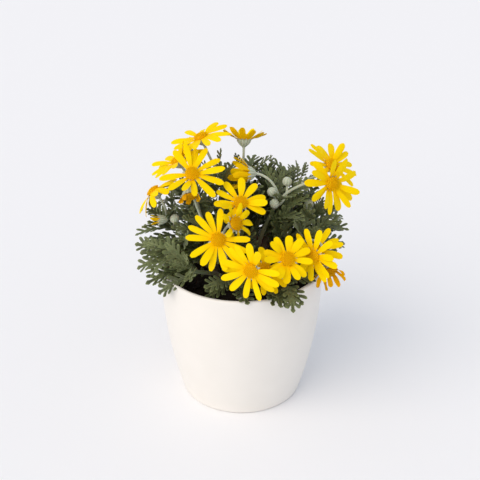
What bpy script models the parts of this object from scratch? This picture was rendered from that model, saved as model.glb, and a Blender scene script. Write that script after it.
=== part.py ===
"""Potted euryops: a yellow daisy bush in its nursery pot, which stands in a white cover pot.

Metres, +Z up. The origin is the middle of the cover pot's flat base. The flowers face -Y.
Places in the tables below are in millimetres from that origin.
"""
import math
import random

import bmesh
import bpy
from mathutils import Matrix, Vector
from mathutils.bvhtree import BVHTree

MM = 0.001
GAP = 0.3 * MM

# Cover pot: a glazed bowl-sided pot with a rounded lip
COVER_HEIGHT = 123.0 * MM
COVER_RIM_RADIUS = 70.0 * MM
COVER_BASE_RADIUS = 52.8 * MM
COVER_FLARE = 2.15
COVER_WALL = 3.5 * MM
COVER_FLOOR = 4.0 * MM
COVER_FOOT_EDGE = 2.5 * MM
COVER_OUTER_SPANS = 5
COVER_INNER_SPANS = 2

# Nursery pot: thin plastic with straight sides, a rim band and drain holes
NURSERY_BOTTOM = COVER_FLOOR + GAP
NURSERY_TOP = 117.0 * MM
NURSERY_BASE_RADIUS = 45.0 * MM
NURSERY_NECK_RADIUS = 61.5 * MM
NURSERY_RIM_RADIUS = 63.5 * MM
NURSERY_RIM_BAND = 6.0 * MM
NURSERY_WALL = 1.5 * MM
DRAIN_HOLES = 4
DRAIN_HOLE_RADIUS = 4.5 * MM
DRAIN_HOLE_CIRCLE = 30.0 * MM

COVER_SEGMENTS = 30
NURSERY_SEGMENTS = 22

# Soil
SOIL_TOP = 104.0 * MM
SOIL_LUMP = 0.9 * MM
SOIL_LUMP_LENGTH = 6.0 * MM

# Stems stand in plain holes in the soil, and fan out from there
STEM_DEPTH = 14.0 * MM
STEM_FOOT_RADIUS = 2.2 * MM
STEM_TIP_RADIUS = 1.4 * MM
STEM_FAN = 0.33
STEM_SPANS = 3
STEM_LEAN = 14.0
STEM_LEAN_PER_MM = 0.55
STEM_FOOT_HANDLE = 0.40
STEM_TIP_HANDLE = 0.35

# Leaves: a stalk, then pairs of forward-swept lobes and an end lobe
LEAF_LONGEST = 56.0 * MM
LEAF_SHORTEST = 36.0 * MM
LEAF_THICKNESS = 0.8 * MM
LEAF_RIB_HALF = 1.4 * MM
LEAF_PAIRS = 4
LEAF_STALK_SHARE = 0.30
LEAF_END_LOBE_SHARE = 0.14
LEAF_LOBE_SHARE = 0.19
LEAF_LOBE_SWEEP = math.radians(44)
LEAF_LOBE_TIP_HALF = 1.5 * MM
LEAF_LOBE_LEAST = 0.72
LEAF_LOBE_SWELL = 0.40
LEAF_LOBE_PHASE = 0.2
LEAF_FOLD = math.radians(14)
# A leaf opens this far from its stem low down and at the tip, and droops along its length
LEAF_OPENING_LOW = 62
LEAF_OPENING_HIGH = 32
LEAF_OPENING_SPREAD = 8
LEAF_BEND = -34
LEAF_BEND_SPREAD = 14
LEAF_LENGTH_SPREAD = 0.08
LEAF_AXIS_LIFT = 0.22
LEAF_FACE_BACK = 0.20
# Leaves turn their upper side toward the light, which comes from above, the front and the left
LIGHT_FROM = Vector((-0.15, -0.45, 0.70))
LEAVES_PER_STEM = 3
LEAF_PLACES = 9
LEAFY_FROM = 0.42
# Steps that spread any number of leaves evenly along a stem and round it
HEIGHT_STEP = 0.7548776662
BEARING_STEP = 0.5698402910
STEM_TURN_STEP = 0.377
BEARING_START = Vector((0.3, 1, 0.2))
# An aimed leaf grows from the place on its stem that is nearest to this far from its tip's place
AIMED_LEAF_SPAN = 40.0 * MM
AIMED_LEAF_HIGHEST = 0.98
AIMED_LEAF_STEPS = 24

# Flower heads: cup, petal ring and dome of florets
CUP_HEIGHT = 6.2 * MM
CUP_RADIUS = 6.0 * MM
CUP_NECK_RADIUS = 1.6 * MM
CUP_SIDES = 7
STALK_RADIUS = 1.1 * MM
# A stem's first stalk leaves it here, as a share of its length, and each further one lower
STALK_FROM = 0.92
STALK_LOWER = 0.035
STALK_END_IN_CUP = 0.7
STALK_START_HANDLE = 0.35
STALK_END_HANDLE = 0.40
LONG_STALK = 25.0 * MM
RING_RADIUS = 6.2 * MM
RING_THICKNESS = 0.9 * MM
PETAL_THINNING = 0.8
PETAL_WIDTH = 6.0 * MM
PETAL_TIP_WIDTH = 3.4 * MM
PETAL_WIDEST = 0.62
PETAL_ROOT_HALF_ANGLE = 15
RING_ITSELF = 999
FLORET_DOME_RADIUS = 5.8 * MM
FLORET_DOME_HEIGHT = 3.0 * MM
FLORET_DOME_POWER = 2.4
FLORET_RELIEF = 0.55 * MM
FLORET_CUTS = 2
BUD_RADIUS = 3.9 * MM

# Each leafy stem's number, and the place of its growing tip
STEMS = {
    1: (-59, -25, 146),
    2: (-62, 10, 155),
    3: (-47, 32, 170),
    4: (-18, 12, 194),
    5: (1, 36, 188),
    6: (25, 36, 180),
    7: (50, 42, 178),
    8: (66, 16, 158),
    9: (34, 5, 182),
    10: (-42, -42, 138),
    11: (37, -46, 132),
    12: (-6, -47, 132),
    13: (-29, -14, 158),
    14: (52, -14, 150),
    15: (-38, 58, 146),
    16: (18, 64, 148),
    17: (54, 56, 140),
}

# Each head: its stem, the middle of its petal ring, the compass bearing and the height that it
# faces in degrees (bearing 0 is -Y, 90 is +X), how far its petals reach in millimetres, how far
# they curl in degrees, and each petal's clock angle and rise from the ring's plane in degrees.
# The petals find their room in the order of this list
HEADS = {
    "k": dict(stem=12, at=(7, -72, 153), faces=(-22, 8), reach=25, curl=16, petals=(
        (-174, -2), (-157, 5), (-131, 2), (-99, -4), (-67, 2), (-44, -8), (-21, -2), (8, 6),
        (64, 24), (90, 20), (118, 14), (144, -4), (166, 8))),
    "l": dict(stem=11, at=(36, -62, 158), faces=(9, 39), reach=20, curl=14, petals=(
        (114, 0), (134, 6), (157, -3), (180, 4), (-147, 0), (-123, 5), (-99, 0), (-73, 4),
        (-48, -2), (-12, 4), (20, -3), (50, 4), (78, -2))),
    "m": dict(stem=11, at=(18, -54, 144), faces=(32, 50), reach=22, curl=18, petals=(
        (0, -4), (-30, 0), (-58, 2), (-88, 0), (-118, -4), (-150, 0), (140, -8), (105, -8),
        (68, -8), (34, -6))),
    "n": dict(stem=14, at=(57, -50, 154), faces=(-39, 8), reach=23, curl=18, petals=(
        (16, 4), (-4, -3), (-30, 4), (-51, -2), (-72, -12), (-94, -8), (-124, 0), (-156, 4),
        (174, 0), (144, 0), (114, 0), (82, -5), (48, -2))),
    "i": dict(stem=12, at=(-5, -40, 178), faces=(48, 33), reach=18, curl=35, petals=(
        (16, 4), (-15, 0), (-46, -8), (-92, -34), (-160, 10), (50, 10), (100, 20), (140, 16))),
    "j": dict(stem=12, at=(-19, -52, 170), faces=(6, 40), reach=26, curl=14, petals=(
        (174, 0), (152, -8), (130, 4), (106, -12), (80, -3), (24, -14), (-3, 4),
        (-27, 0), (-53, 7), (-80, 4), (-106, 2), (-125, 9), (-150, 0))),
    "o": dict(stem=14, at=(71, -39, 134), faces=(15, -30), reach=16, curl=-20, petals=(
        (-110, 40), (-76, 28), (-42, 36), (-5, 44), (40, 40), (85, 30), (130, 38), (175, 44),
        (-145, 36))),
    "r": dict(stem=8, at=(62, -30, 149), faces=(-20, 50), reach=22, curl=12, petals=(
        (76, -2), (50, -6), (26, -2), (-4, -4), (-42, -8), (-76, 0), (-108, 0), (-140, 0),
        (174, 0))),
    "g": dict(stem=13, at=(-1, -22, 188), faces=(5, 45), reach=22, curl=16, petals=(
        (151, 0), (123, 2), (83, 0), (50, -4), (16, -8), (-5, 2), (-24, -6), (-95, 12),
        (-128, 10), (-157, 12), (-178, 4))),
    "f": dict(stem=13, at=(-42, -20, 194), faces=(15, -45), reach=10, curl=-40, petals=(
        (-150, 30), (-92, 38), (-35, 30), (22, 38), (80, 30), (140, 36))),
    "d": dict(stem=13, at=(-40, -14, 210), faces=(0, 50), reach=27, curl=14, petals=(
        (-171, 0), (-136, 17), (-103, 32), (-82, 28), (-47, -5), (-16, -6), (6, 0), (34, -6),
        (66, -3), (84, -6), (102, 4), (126, -2))),
    "p": dict(stem=9, at=(74, -8, 199), faces=(27, 9), reach=26, curl=18, petals=(
        (126, -6), (144, 2), (168, -4), (-160, 14), (-136, 24), (-108, 14), (-76, -4), (-60, 6),
        (-43, -2), (-28, 4), (8, -8), (40, -14), (72, 28), (100, 26))),
    "e": dict(stem=2, at=(-73, 0, 188), faces=(-113, 42), reach=22, curl=30, petals=(
        (-84, -12), (-62, -16), (-42, -22), (14, -30), (36, -28), (62, -28), (90, -18),
        (118, -16), (146, -16), (175, -14), (-150, -14), (-118, -14))),
    "h": dict(stem=9, at=(5, 6, 202), faces=(-80, 4), reach=18, curl=-16, petals=(
        (88, 30), (124, 40), (160, 46), (-164, 44), (-130, 48), (-96, 46), (-60, 56), (-22, 62),
        (16, 62), (54, 52))),
    "a": dict(stem=4, at=(-34, 24, 227), faces=(-100, 68), reach=26, curl=20, petals=(
        (-170, -3), (-138, 9), (-114, 5), (-79, 10), (-52, 4), (-25, 0), (0, -2), (27, -5),
        (53, -8), (78, -8), (102, -17), (129, -4), (156, 3))),
    "c": dict(stem=3, at=(-53, 12, 211), faces=(-104, 55), reach=25, curl=24, petals=(
        (-137, 10), (-112, 4), (-94, 12), (-68, 5), (-42, 0), (-14, 0), (13, 0), (42, 6),
        (75, 5), (105, 0), (135, 0), (165, 5), (-164, 8))),
    "q": dict(stem=7, at=(75, 14, 206), faces=(50, 52), reach=25, curl=16, petals=(
        (68, -6), (46, 0), (26, 4), (6, 0), (-16, -4), (-46, 0), (-78, 0), (-110, 0), (-140, 0),
        (-170, 0), (158, 4), (126, 8), (96, -2))),
    "b": dict(stem=5, at=(2, 34, 222), faces=(175, 72), reach=20, curl=-8, petals=(
        (-175, 14), (-142, 20), (-109, 24), (-76, 22), (-43, 28), (-10, 24), (23, 28), (56, 24),
        (89, 30), (122, 24), (155, 18))),
    "s": dict(stem=3, at=(-47, 30, 211), faces=(-84, 14), reach=15, curl=-30, petals=(
        (0, 10), (45, 6), (90, 14), (135, 4), (180, 10), (-135, 18), (-90, 10), (-45, 6))),
}

# Closed woolly buds: their stem and place
BUDS = (
    (2, (-56, -6, 166)),
    (2, (-51, -13, 160)),
    (9, (38, 8, 194)),
    (9, (25, 0, 188)),
    (9, (27, -6, 180)),
    (7, (50, 27, 182)),
    (8, (57, 10, 172)),
    (16, (10, 60, 168)),
    (15, (-40, 50, 168)),
)

# Leaves whose tips show at the bush's edge: their stem and their tip's place
AIMED_LEAVES = (
    (1, (-88, -20, 126)),
    (1, (-85, -20, 141)),
    (10, (-69, -40, 113)),
    (2, (-89, 0, 176)),
    (2, (-80, 0, 160)),
    (12, (5, -74, 123)),
    (11, (24, -74, 122)),
    (11, (35, -74, 120)),
    (11, (49, -66, 118)),
    (8, (91, 0, 152)),
    (8, (85, 0, 160)),
    (14, (88, 0, 139)),
    (4, (-6, 20, 220)),
    (4, (-26, 20, 210)),
    (9, (45, 20, 215)),
    (6, (25, 20, 206)),
    (5, (11, 20, 201)),
    (7, (62, 20, 194)),
)

# The bud that is opening at the left, with folded petals at its tip
OPENING_BUD = dict(stem=2, at=(-69, -6, 165), faces=(-77, 1))
OPENING_BUD_CUP_RADIUS = 4.0 * MM
OPENING_BUD_RING_RADIUS = 2.6 * MM
OPENING_BUD_PETALS = 5
OPENING_BUD_FIRST_CLOCK = -179
OPENING_BUD_RISE = 62
OPENING_BUD_CURL = math.radians(22)
OPENING_BUD_REACH = 8.0 * MM
OPENING_BUD_WIDTH = 2.6 * MM
OPENING_BUD_TIP_WIDTH = 1.2 * MM

# What each petal, leaf and stalk may try, in order, to stay clear of its neighbours
PETAL_TRIES = [(rise, reach) for reach in (1.0, 0.85, 0.72)
               for rise in (0, 7, -7, 14, -14, 22, -22, 30)]
LEAF_TRIES = [
    (0, 0, 1.0), (-14, 0, 1.0), (14, 0, 1.0), (0, -14, 1.0), (0, 14, 1.0), (-28, 0, 1.0),
    (20, 20, 1.0), (20, -20, 1.0), (-20, 26, 0.9), (-20, -26, 0.9), (0, 0, 0.8), (0, 30, 0.8),
    (0, -30, 0.8), (28, 0, 0.8), (-40, 0, 0.8),
]
STALK_TRIES = [(0, 0)] + [(step * MM, turn) for step in (5, 10, 15) for turn in range(0, 360, 45)]
TEST_MARGIN = 0.35 * MM
TEST_STRETCH = 1.03
LEAF_TEST_FROM = 0.14
PETAL_TEST_FROM = 0.06
SIBLING_TEST_FROM = 0.34
RANDOM_SEED = 5


def collection(name):
    made = bpy.data.collections.new(name)
    bpy.context.scene.collection.children.link(made)
    return made


def material(name, colour, roughness):
    made = bpy.data.materials.new(name)
    made.use_nodes = True
    shader = made.node_tree.nodes["Principled BSDF"]
    shader.inputs["Base Color"].default_value = (*colour, 1.0)
    shader.inputs["Roughness"].default_value = roughness
    made.diffuse_color = (*colour, 1.0)
    return made


def add_object(name, mesh, look):
    """Link a mesh to the part as a named object with its own material."""
    made = bpy.data.objects.new(name, mesh)
    part.objects.link(made)
    mesh.materials.clear()
    mesh.materials.append(look)
    return made


def mesh_from(bm, name):
    mesh = bpy.data.meshes.new(name)
    bmesh.ops.recalc_face_normals(bm, faces=bm.faces)
    bm.to_mesh(mesh)
    bm.free()
    return mesh


def evaluated_mesh(holder):
    depsgraph = bpy.context.evaluated_depsgraph_get()
    return bpy.data.meshes.new_from_object(holder.evaluated_get(depsgraph))


def cut(target, cutter, solver="EXACT"):
    """Keep a Boolean cut on the target, with its cutter hidden."""
    cutter.hide_render = True
    cutter.display_type = "WIRE"
    modifier = target.modifiers.new("cut", "BOOLEAN")
    modifier.operation = "DIFFERENCE"
    modifier.solver = solver
    modifier.object = cutter


# Pots and soil

def cover_radius(height):
    """Outer radius of the cover pot, which flares fast above the base and less at the rim."""
    share = 1 - (1 - height / COVER_HEIGHT) ** COVER_FLARE
    return COVER_BASE_RADIUS + (COVER_RIM_RADIUS - COVER_BASE_RADIUS) * share


def turned(name, profile, segments, look):
    """Turn a profile round the Z axis; it runs up the inside and down the outside."""
    mesh = bpy.data.meshes.new(name)
    points = [(radius, 0, height) for radius, height in profile]
    edges = [(index, index + 1) for index in range(len(points) - 1)]
    mesh.from_pydata(points, edges, [])
    made = add_object(name, mesh, look)
    screw = made.modifiers.new("turn", "SCREW")
    screw.steps = screw.render_steps = segments
    screw.use_merge_vertices = True
    screw.merge_threshold = 0.00001
    screw.use_smooth_shade = True
    return made


def build_cover_pot():
    lip = COVER_WALL / 2

    def levels(spans):
        rise = COVER_HEIGHT - lip - COVER_FLOOR
        return [COVER_FLOOR + rise * step / spans for step in range(1, spans + 1)]

    profile = [(0, COVER_FLOOR), (cover_radius(COVER_FLOOR) - COVER_WALL, COVER_FLOOR)]
    profile += [(cover_radius(level) - COVER_WALL, level) for level in levels(COVER_INNER_SPANS)]
    middle = COVER_RIM_RADIUS - lip
    profile += [(middle - lip * math.cos(turn), COVER_HEIGHT - lip + lip * math.sin(turn))
                for turn in (math.pi / 4, math.pi / 2, math.pi * 3 / 4)]
    profile += [(cover_radius(level), level) for level in reversed(levels(COVER_OUTER_SPANS))]
    profile += [(cover_radius(COVER_FOOT_EDGE), COVER_FOOT_EDGE),
                (COVER_BASE_RADIUS - COVER_FOOT_EDGE * 0.2, COVER_FOOT_EDGE * 0.3),
                (COVER_BASE_RADIUS - COVER_FOOT_EDGE, 0), (0, 0)]
    return turned("cover_pot", profile, COVER_SEGMENTS,
                  material("white_glaze", (0.86, 0.84, 0.81), 0.35))


def nursery_radius(height):
    """Outer radius of the nursery pot's straight side below its rim band."""
    neck = NURSERY_TOP - NURSERY_RIM_BAND
    share = (height - NURSERY_BOTTOM) / (neck - NURSERY_BOTTOM)
    return NURSERY_BASE_RADIUS + (NURSERY_NECK_RADIUS - NURSERY_BASE_RADIUS) * share


def build_nursery_pot():
    floor = NURSERY_BOTTOM + NURSERY_WALL
    neck = NURSERY_TOP - NURSERY_RIM_BAND
    profile = [
        (0, floor),
        (nursery_radius(floor) - NURSERY_WALL, floor),
        (NURSERY_NECK_RADIUS - NURSERY_WALL, neck),
        (NURSERY_RIM_RADIUS - NURSERY_WALL, neck + NURSERY_WALL),
        (NURSERY_RIM_RADIUS - NURSERY_WALL, NURSERY_TOP),
        (NURSERY_RIM_RADIUS, NURSERY_TOP),
        (NURSERY_RIM_RADIUS, neck),
        (NURSERY_NECK_RADIUS, neck),
        (NURSERY_BASE_RADIUS, NURSERY_BOTTOM),
        (0, NURSERY_BOTTOM),
    ]
    pot = turned("nursery_pot", profile, NURSERY_SEGMENTS,
                 material("brown_plastic", (0.19, 0.06, 0.03), 0.55))
    bm = bmesh.new()
    for index in range(DRAIN_HOLES):
        bearing = math.tau * index / DRAIN_HOLES
        centre = Matrix.Translation((DRAIN_HOLE_CIRCLE * math.cos(bearing),
                                     DRAIN_HOLE_CIRCLE * math.sin(bearing), floor))
        bmesh.ops.create_cone(bm, cap_ends=True, segments=8, radius1=DRAIN_HOLE_RADIUS,
                              radius2=DRAIN_HOLE_RADIUS, depth=6 * NURSERY_WALL, matrix=centre)
    cutter = bpy.data.objects.new("drain_holes", mesh_from(bm, "drain_holes"))
    cutters.objects.link(cutter)
    cut(pot, cutter)
    return pot


def build_soil():
    bottom = NURSERY_BOTTOM + NURSERY_WALL + GAP

    def side(height):
        return nursery_radius(height) - NURSERY_WALL - 2 * GAP

    edge = side(SOIL_TOP)
    profile = [(0, SOIL_TOP), (edge / 2, SOIL_TOP), (edge, SOIL_TOP), (side(bottom), bottom),
               (0, bottom)]
    soil = turned("potting_soil", profile, NURSERY_SEGMENTS,
                  material("peat", (0.035, 0.022, 0.015), 0.95))
    mesh = evaluated_mesh(soil)
    soil.modifiers.clear()
    soil.data = mesh
    for vertex in mesh.vertices:
        if vertex.co.z > SOIL_TOP - SOIL_LUMP:
            x, y = vertex.co.x / SOIL_LUMP_LENGTH, vertex.co.y / SOIL_LUMP_LENGTH
            vertex.co.z += SOIL_LUMP * math.sin(1.7 * x + 0.6 * y) * math.cos(1.3 * y - 0.4 * x)
    bm = bmesh.new()
    for number in STEMS:
        foot = stem_foot(number)
        hole = STEM_FOOT_RADIUS + 2 * GAP
        centre = Matrix.Translation((foot.x, foot.y, SOIL_TOP))
        bmesh.ops.create_cone(bm, cap_ends=True, segments=6, radius1=hole, radius2=hole,
                              depth=2 * STEM_DEPTH, matrix=centre)
    cutter = bpy.data.objects.new("stem_holes", mesh_from(bm, "stem_holes"))
    cutters.objects.link(cutter)
    cut(soil, cutter, "MANIFOLD")
    return soil


# Stems

def stem_foot(number):
    """Where a stem leaves the soil: part of the way out below its tip."""
    x, y, _ = STEMS[number]
    return Vector((x * STEM_FAN * MM, y * STEM_FAN * MM, SOIL_TOP))


def bezier(start, start_handle, end_handle, end, share):
    rest = 1 - share
    return (start * rest ** 3 + start_handle * 3 * rest ** 2 * share
            + end_handle * 3 * rest * share ** 2 + end * share ** 3)


def stem_point(number, share):
    """Point on a stem's middle line at a share of its way from the soil to the tip."""
    foot = stem_foot(number)
    tip = Vector(STEMS[number]) * MM
    span = (tip - foot).length
    out = Vector((tip.x, tip.y, 0))
    lean = math.radians(STEM_LEAN + STEM_LEAN_PER_MM * out.length / MM)
    heading = out.normalized() * math.sin(lean) + Vector((0, 0, math.cos(lean)))
    rising = foot + Vector((0, 0, span * STEM_FOOT_HANDLE))
    return bezier(foot, rising, tip - heading * span * STEM_TIP_HANDLE, tip, share)


def stem_heading(number, share):
    step = 0.01
    ahead = stem_point(number, min(share + step, 1))
    return (ahead - stem_point(number, share - step)).normalized()


def tube(points, radii, resolution):
    """Closed tube mesh along the points, with one radius for each."""
    curve = bpy.data.curves.new("tube", "CURVE")
    curve.dimensions = "3D"
    curve.bevel_depth = 1.0
    curve.bevel_resolution = resolution
    curve.use_fill_caps = True
    spline = curve.splines.new("POLY")
    spline.points.add(len(points) - 1)
    for point, place, radius in zip(spline.points, points, radii):
        point.co = (*place, 1.0)
        point.radius = radius
    holder = bpy.data.objects.new("tube", curve)
    part.objects.link(holder)
    mesh = evaluated_mesh(holder)
    mesh.transform(holder.matrix_world)
    bpy.data.objects.remove(holder)
    bm = bmesh.new()
    bm.from_mesh(mesh)
    bmesh.ops.remove_doubles(bm, verts=bm.verts, dist=0.00001)
    return mesh_from(bm, "tube")


def stem_tube(number):
    points = [stem_foot(number) - Vector((0, 0, STEM_DEPTH - GAP))]
    radii = [STEM_FOOT_RADIUS]
    for step in range(STEM_SPANS + 1):
        share = step / STEM_SPANS
        points.append(stem_point(number, share))
        radii.append(STEM_FOOT_RADIUS + (STEM_TIP_RADIUS - STEM_FOOT_RADIUS) * share)
    return tube(points, radii, 0)


# Staying clear of neighbours

def solid_tree(bm_or_mesh):
    """A search tree with its box, to test one solid against others."""
    if isinstance(bm_or_mesh, bmesh.types.BMesh):
        points = [vertex.co.copy() for vertex in bm_or_mesh.verts]
        faces = [[vertex.index for vertex in face.verts] for face in bm_or_mesh.faces]
    else:
        points = [vertex.co.copy() for vertex in bm_or_mesh.vertices]
        faces = [list(polygon.vertices) for polygon in bm_or_mesh.polygons]
    low = Vector([min(point[axis] for point in points) for axis in range(3)])
    high = Vector([max(point[axis] for point in points) for axis in range(3)])
    return BVHTree.FromPolygons(points, faces), low, high


def is_clear(solid, node=None):
    """True where a solid crosses nothing placed so far, apart from its own node's pieces."""
    tree, low, high = solid
    for owner, (other, other_low, other_high) in placed:
        if owner == node:
            continue
        if any(low[axis] > other_high[axis] or high[axis] < other_low[axis] for axis in range(3)):
            continue
        if tree.overlap(other):
            return False
    return True


# Leaves

def arc_point(length, start, bend, share):
    """Distance along and up, and slope, at a share of an arc that turns by bend."""
    turn = bend * share
    if abs(bend) < 0.001:
        return length * share * math.cos(start), length * share * math.sin(start), start
    radius = length / bend
    return (radius * (math.sin(start + turn) - math.sin(start)),
            radius * (math.cos(start) - math.cos(start + turn)), start + turn)


def leaf_setting(number, index, attempt):
    """Base, axis, upper side, length and bend of one leaf, for one attempt at clearing it."""
    draw = random.Random(f"leaf {RANDOM_SEED} {number} {index}")
    bend_more, turn_more, shorter = LEAF_TRIES[attempt]
    share = LEAFY_FROM + (1 - LEAFY_FROM) * ((index * HEIGHT_STEP) % 1)
    turns = (index * BEARING_STEP + number * STEM_TURN_STEP) % 1
    bearing = math.tau * turns + math.radians(turn_more)
    heading = stem_heading(number, share)
    across = heading.cross(BEARING_START).normalized()
    radial = across * math.cos(bearing) + heading.cross(across) * math.sin(bearing)
    opening = LEAF_OPENING_LOW + (LEAF_OPENING_HIGH - LEAF_OPENING_LOW) * share
    opening = math.radians(opening + draw.uniform(-LEAF_OPENING_SPREAD, LEAF_OPENING_SPREAD))
    axis = heading * math.cos(opening) + radial * math.sin(opening)
    axis = (axis + Vector((0, 0, LEAF_AXIS_LIFT))).normalized()
    upper = heading + LIGHT_FROM - radial * LEAF_FACE_BACK
    upper = (upper - axis * upper.dot(axis)).normalized()
    length = LEAF_LONGEST + (LEAF_SHORTEST - LEAF_LONGEST) * share
    length *= shorter * draw.uniform(1 - LEAF_LENGTH_SPREAD, 1 + LEAF_LENGTH_SPREAD)
    bend = LEAF_BEND + draw.uniform(-LEAF_BEND_SPREAD, LEAF_BEND_SPREAD) + bend_more
    return stem_point(number, share), axis, upper, length, math.radians(bend)


def aimed_leaf_setting(number, tip, attempt):
    """As leaf_setting, for a leaf that ends at a given place."""
    bend_more, turn_more, shorter = LEAF_TRIES[attempt]
    tip = Vector(tip) * MM

    def misfit(share):
        return abs((tip - stem_point(number, share)).length - AIMED_LEAF_SPAN)

    share = min((LEAFY_FROM + (AIMED_LEAF_HIGHEST - LEAFY_FROM) * step / AIMED_LEAF_STEPS
                 for step in range(AIMED_LEAF_STEPS + 1)), key=misfit)
    base = stem_point(number, share)
    chord = (tip - base) * shorter
    ahead = chord.normalized()
    upper = Matrix.Rotation(math.radians(turn_more), 3, ahead) @ (
        stem_heading(number, share) + LIGHT_FROM)
    upper = (upper - ahead * upper.dot(ahead)).normalized()
    bend = math.radians(LEAF_BEND + bend_more)
    half = Matrix.Rotation(-bend / 2, 3, ahead.cross(upper))
    length = chord.length * (bend / 2) / math.sin(bend / 2)
    return base, half @ ahead, half @ upper, length, bend


def leaf_tip(setting):
    base, axis, upper, length, bend = setting
    along, up, _ = arc_point(length, 0, bend, 1)
    return base + axis * along + upper * up


def leaf_plans(number):
    """For each leaf a stem may grow, its settings: the aimed ones, then the far-reaching ones."""
    attempts = range(len(LEAF_TRIES))
    plans = [[aimed_leaf_setting(number, tip, attempt) for attempt in attempts]
             for owner, tip in AIMED_LEAVES if owner == number]
    turned_out = [[leaf_setting(number, index, attempt) for attempt in attempts]
                  for index in range(1, LEAF_PLACES + 1)]
    middle = Vector((0, 0, SOIL_TOP))
    turned_out.sort(key=lambda settings: -(leaf_tip(settings[0]) - middle).length)
    return plans + turned_out


def leaf_solid(setting, thickness, stretch=1.0, start_share=0.0):
    """Cut the leaf's outline flat, thicken it, then bend it along its arc."""
    base, axis, upper, length, bend = setting
    side = upper.cross(axis)
    bm = bmesh.new()

    def corner(along, out):
        return bm.verts.new((along, out * stretch, -thickness / 2))

    stations = [start_share * length]
    lobed = 1 - LEAF_STALK_SHARE - LEAF_END_LOBE_SHARE
    stations += [length * (LEAF_STALK_SHARE + lobed * pair / LEAF_PAIRS)
                 for pair in range(LEAF_PAIRS + 1)]
    left = [corner(along, LEAF_RIB_HALF) for along in stations]
    right = [corner(along, -LEAF_RIB_HALF) for along in stations]
    for row in range(len(stations) - 1):
        bm.faces.new((left[row], right[row], right[row + 1], left[row + 1]))
        if row == 0:
            continue
        along_share = (row - LEAF_LOBE_PHASE) / (LEAF_PAIRS + 2 * LEAF_LOBE_PHASE)
        swell = LEAF_LOBE_LEAST + LEAF_LOBE_SWELL * math.sin(math.pi * along_share)
        lobe = length * LEAF_LOBE_SHARE * swell
        forward, outward = math.cos(LEAF_LOBE_SWEEP), math.sin(LEAF_LOBE_SWEEP)
        along = (stations[row] + stations[row + 1]) / 2 + lobe * forward
        out = LEAF_RIB_HALF + lobe * outward
        if row == 1:
            bm.faces.new((left[row], left[row + 1], corner(along, out)))
            bm.faces.new((right[row + 1], right[row], corner(along, -out)))
            continue
        front = (along + LEAF_LOBE_TIP_HALF * outward, out - LEAF_LOBE_TIP_HALF * forward)
        rear = (along - LEAF_LOBE_TIP_HALF * outward, out + LEAF_LOBE_TIP_HALF * forward)
        bm.faces.new((left[row], left[row + 1], corner(*front), corner(*rear)))
        bm.faces.new((right[row + 1], right[row], corner(rear[0], -rear[1]),
                      corner(front[0], -front[1])))
    bm.faces.new((left[-1], right[-1], corner(length * stretch, 0)))
    bmesh.ops.triangulate(bm, faces=bm.faces)
    grown = bmesh.ops.extrude_face_region(bm, geom=bm.faces[:])
    top = [item for item in grown["geom"] if isinstance(item, bmesh.types.BMVert)]
    bmesh.ops.translate(bm, verts=top, vec=(0, 0, thickness))
    for vertex in bm.verts:
        flat = vertex.co.copy()
        along, up, slope = arc_point(length, 0, bend, flat.x / length)
        normal = upper * math.cos(slope) - axis * math.sin(slope)
        fold = abs(flat.y) * math.sin(LEAF_FOLD)
        vertex.co = (base + axis * along + upper * up + side * flat.y * math.cos(LEAF_FOLD)
                     + normal * (fold + flat.z))
    bm.verts.index_update()
    bmesh.ops.recalc_face_normals(bm, faces=bm.faces)
    return bm


def grow_leaves(number):
    """Leaf meshes of one stem, each at the first bend that keeps it clear."""
    leaves = []
    thick = LEAF_THICKNESS + 2 * TEST_MARGIN
    for settings in leaf_plans(number):
        if len(leaves) == LEAVES_PER_STEM:
            break
        for setting in settings:
            test = leaf_solid(setting, thick, TEST_STRETCH, LEAF_TEST_FROM)
            solid = solid_tree(test)
            test.free()
            if is_clear(solid):
                placed.append((f"leaf of {number}", solid))
                leaves.append(mesh_from(leaf_solid(setting, LEAF_THICKNESS), "leaf"))
                break
    if len(leaves) < LEAVES_PER_STEM:
        print("few leaves on stem", number, len(leaves))
    return leaves


# Flower heads

def head_matrix(at, faces):
    """Frame of a head: X to its right, Y up its face, Z the way it faces."""
    bearing, height = (math.radians(angle) for angle in faces)
    ahead = Vector((math.sin(bearing) * math.cos(height), -math.cos(bearing) * math.cos(height),
                    math.sin(height)))
    upward = (Vector((0, 0, 1)) - ahead * ahead.z).normalized()
    right = upward.cross(ahead)
    frame = Matrix((right, upward, ahead)).transposed().to_4x4()
    return Matrix.Translation(Vector(at) * MM) @ frame


def petal_setting(petal, reach, curl, ring_radius, attempt):
    """Clock angle, length, slope at the root and bend of one petal."""
    clock, rise = petal
    rise_more, shorter = PETAL_TRIES[attempt]
    rise = math.radians(rise + rise_more)
    tip = Vector((reach * shorter * math.cos(rise) - ring_radius, reach * shorter * math.sin(rise)))
    bend = -curl
    length = tip.length * (bend / 2) / math.sin(bend / 2)
    return math.radians(clock), length, math.atan2(tip.y, tip.x) - bend / 2, bend


def petal_point(setting, ring_radius, share, out, height):
    """Point of a petal in its head's frame."""
    clock, length, start, bend = setting
    along, up, slope = arc_point(length, start, bend, share)
    outward = Vector((math.cos(clock), math.sin(clock), 0))
    across = Vector((-math.sin(clock), math.cos(clock), 0))
    normal = Vector((0, 0, math.cos(slope))) - outward * math.sin(slope)
    return outward * (ring_radius + along) + Vector((0, 0, up)) + across * out + normal * height


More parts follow.
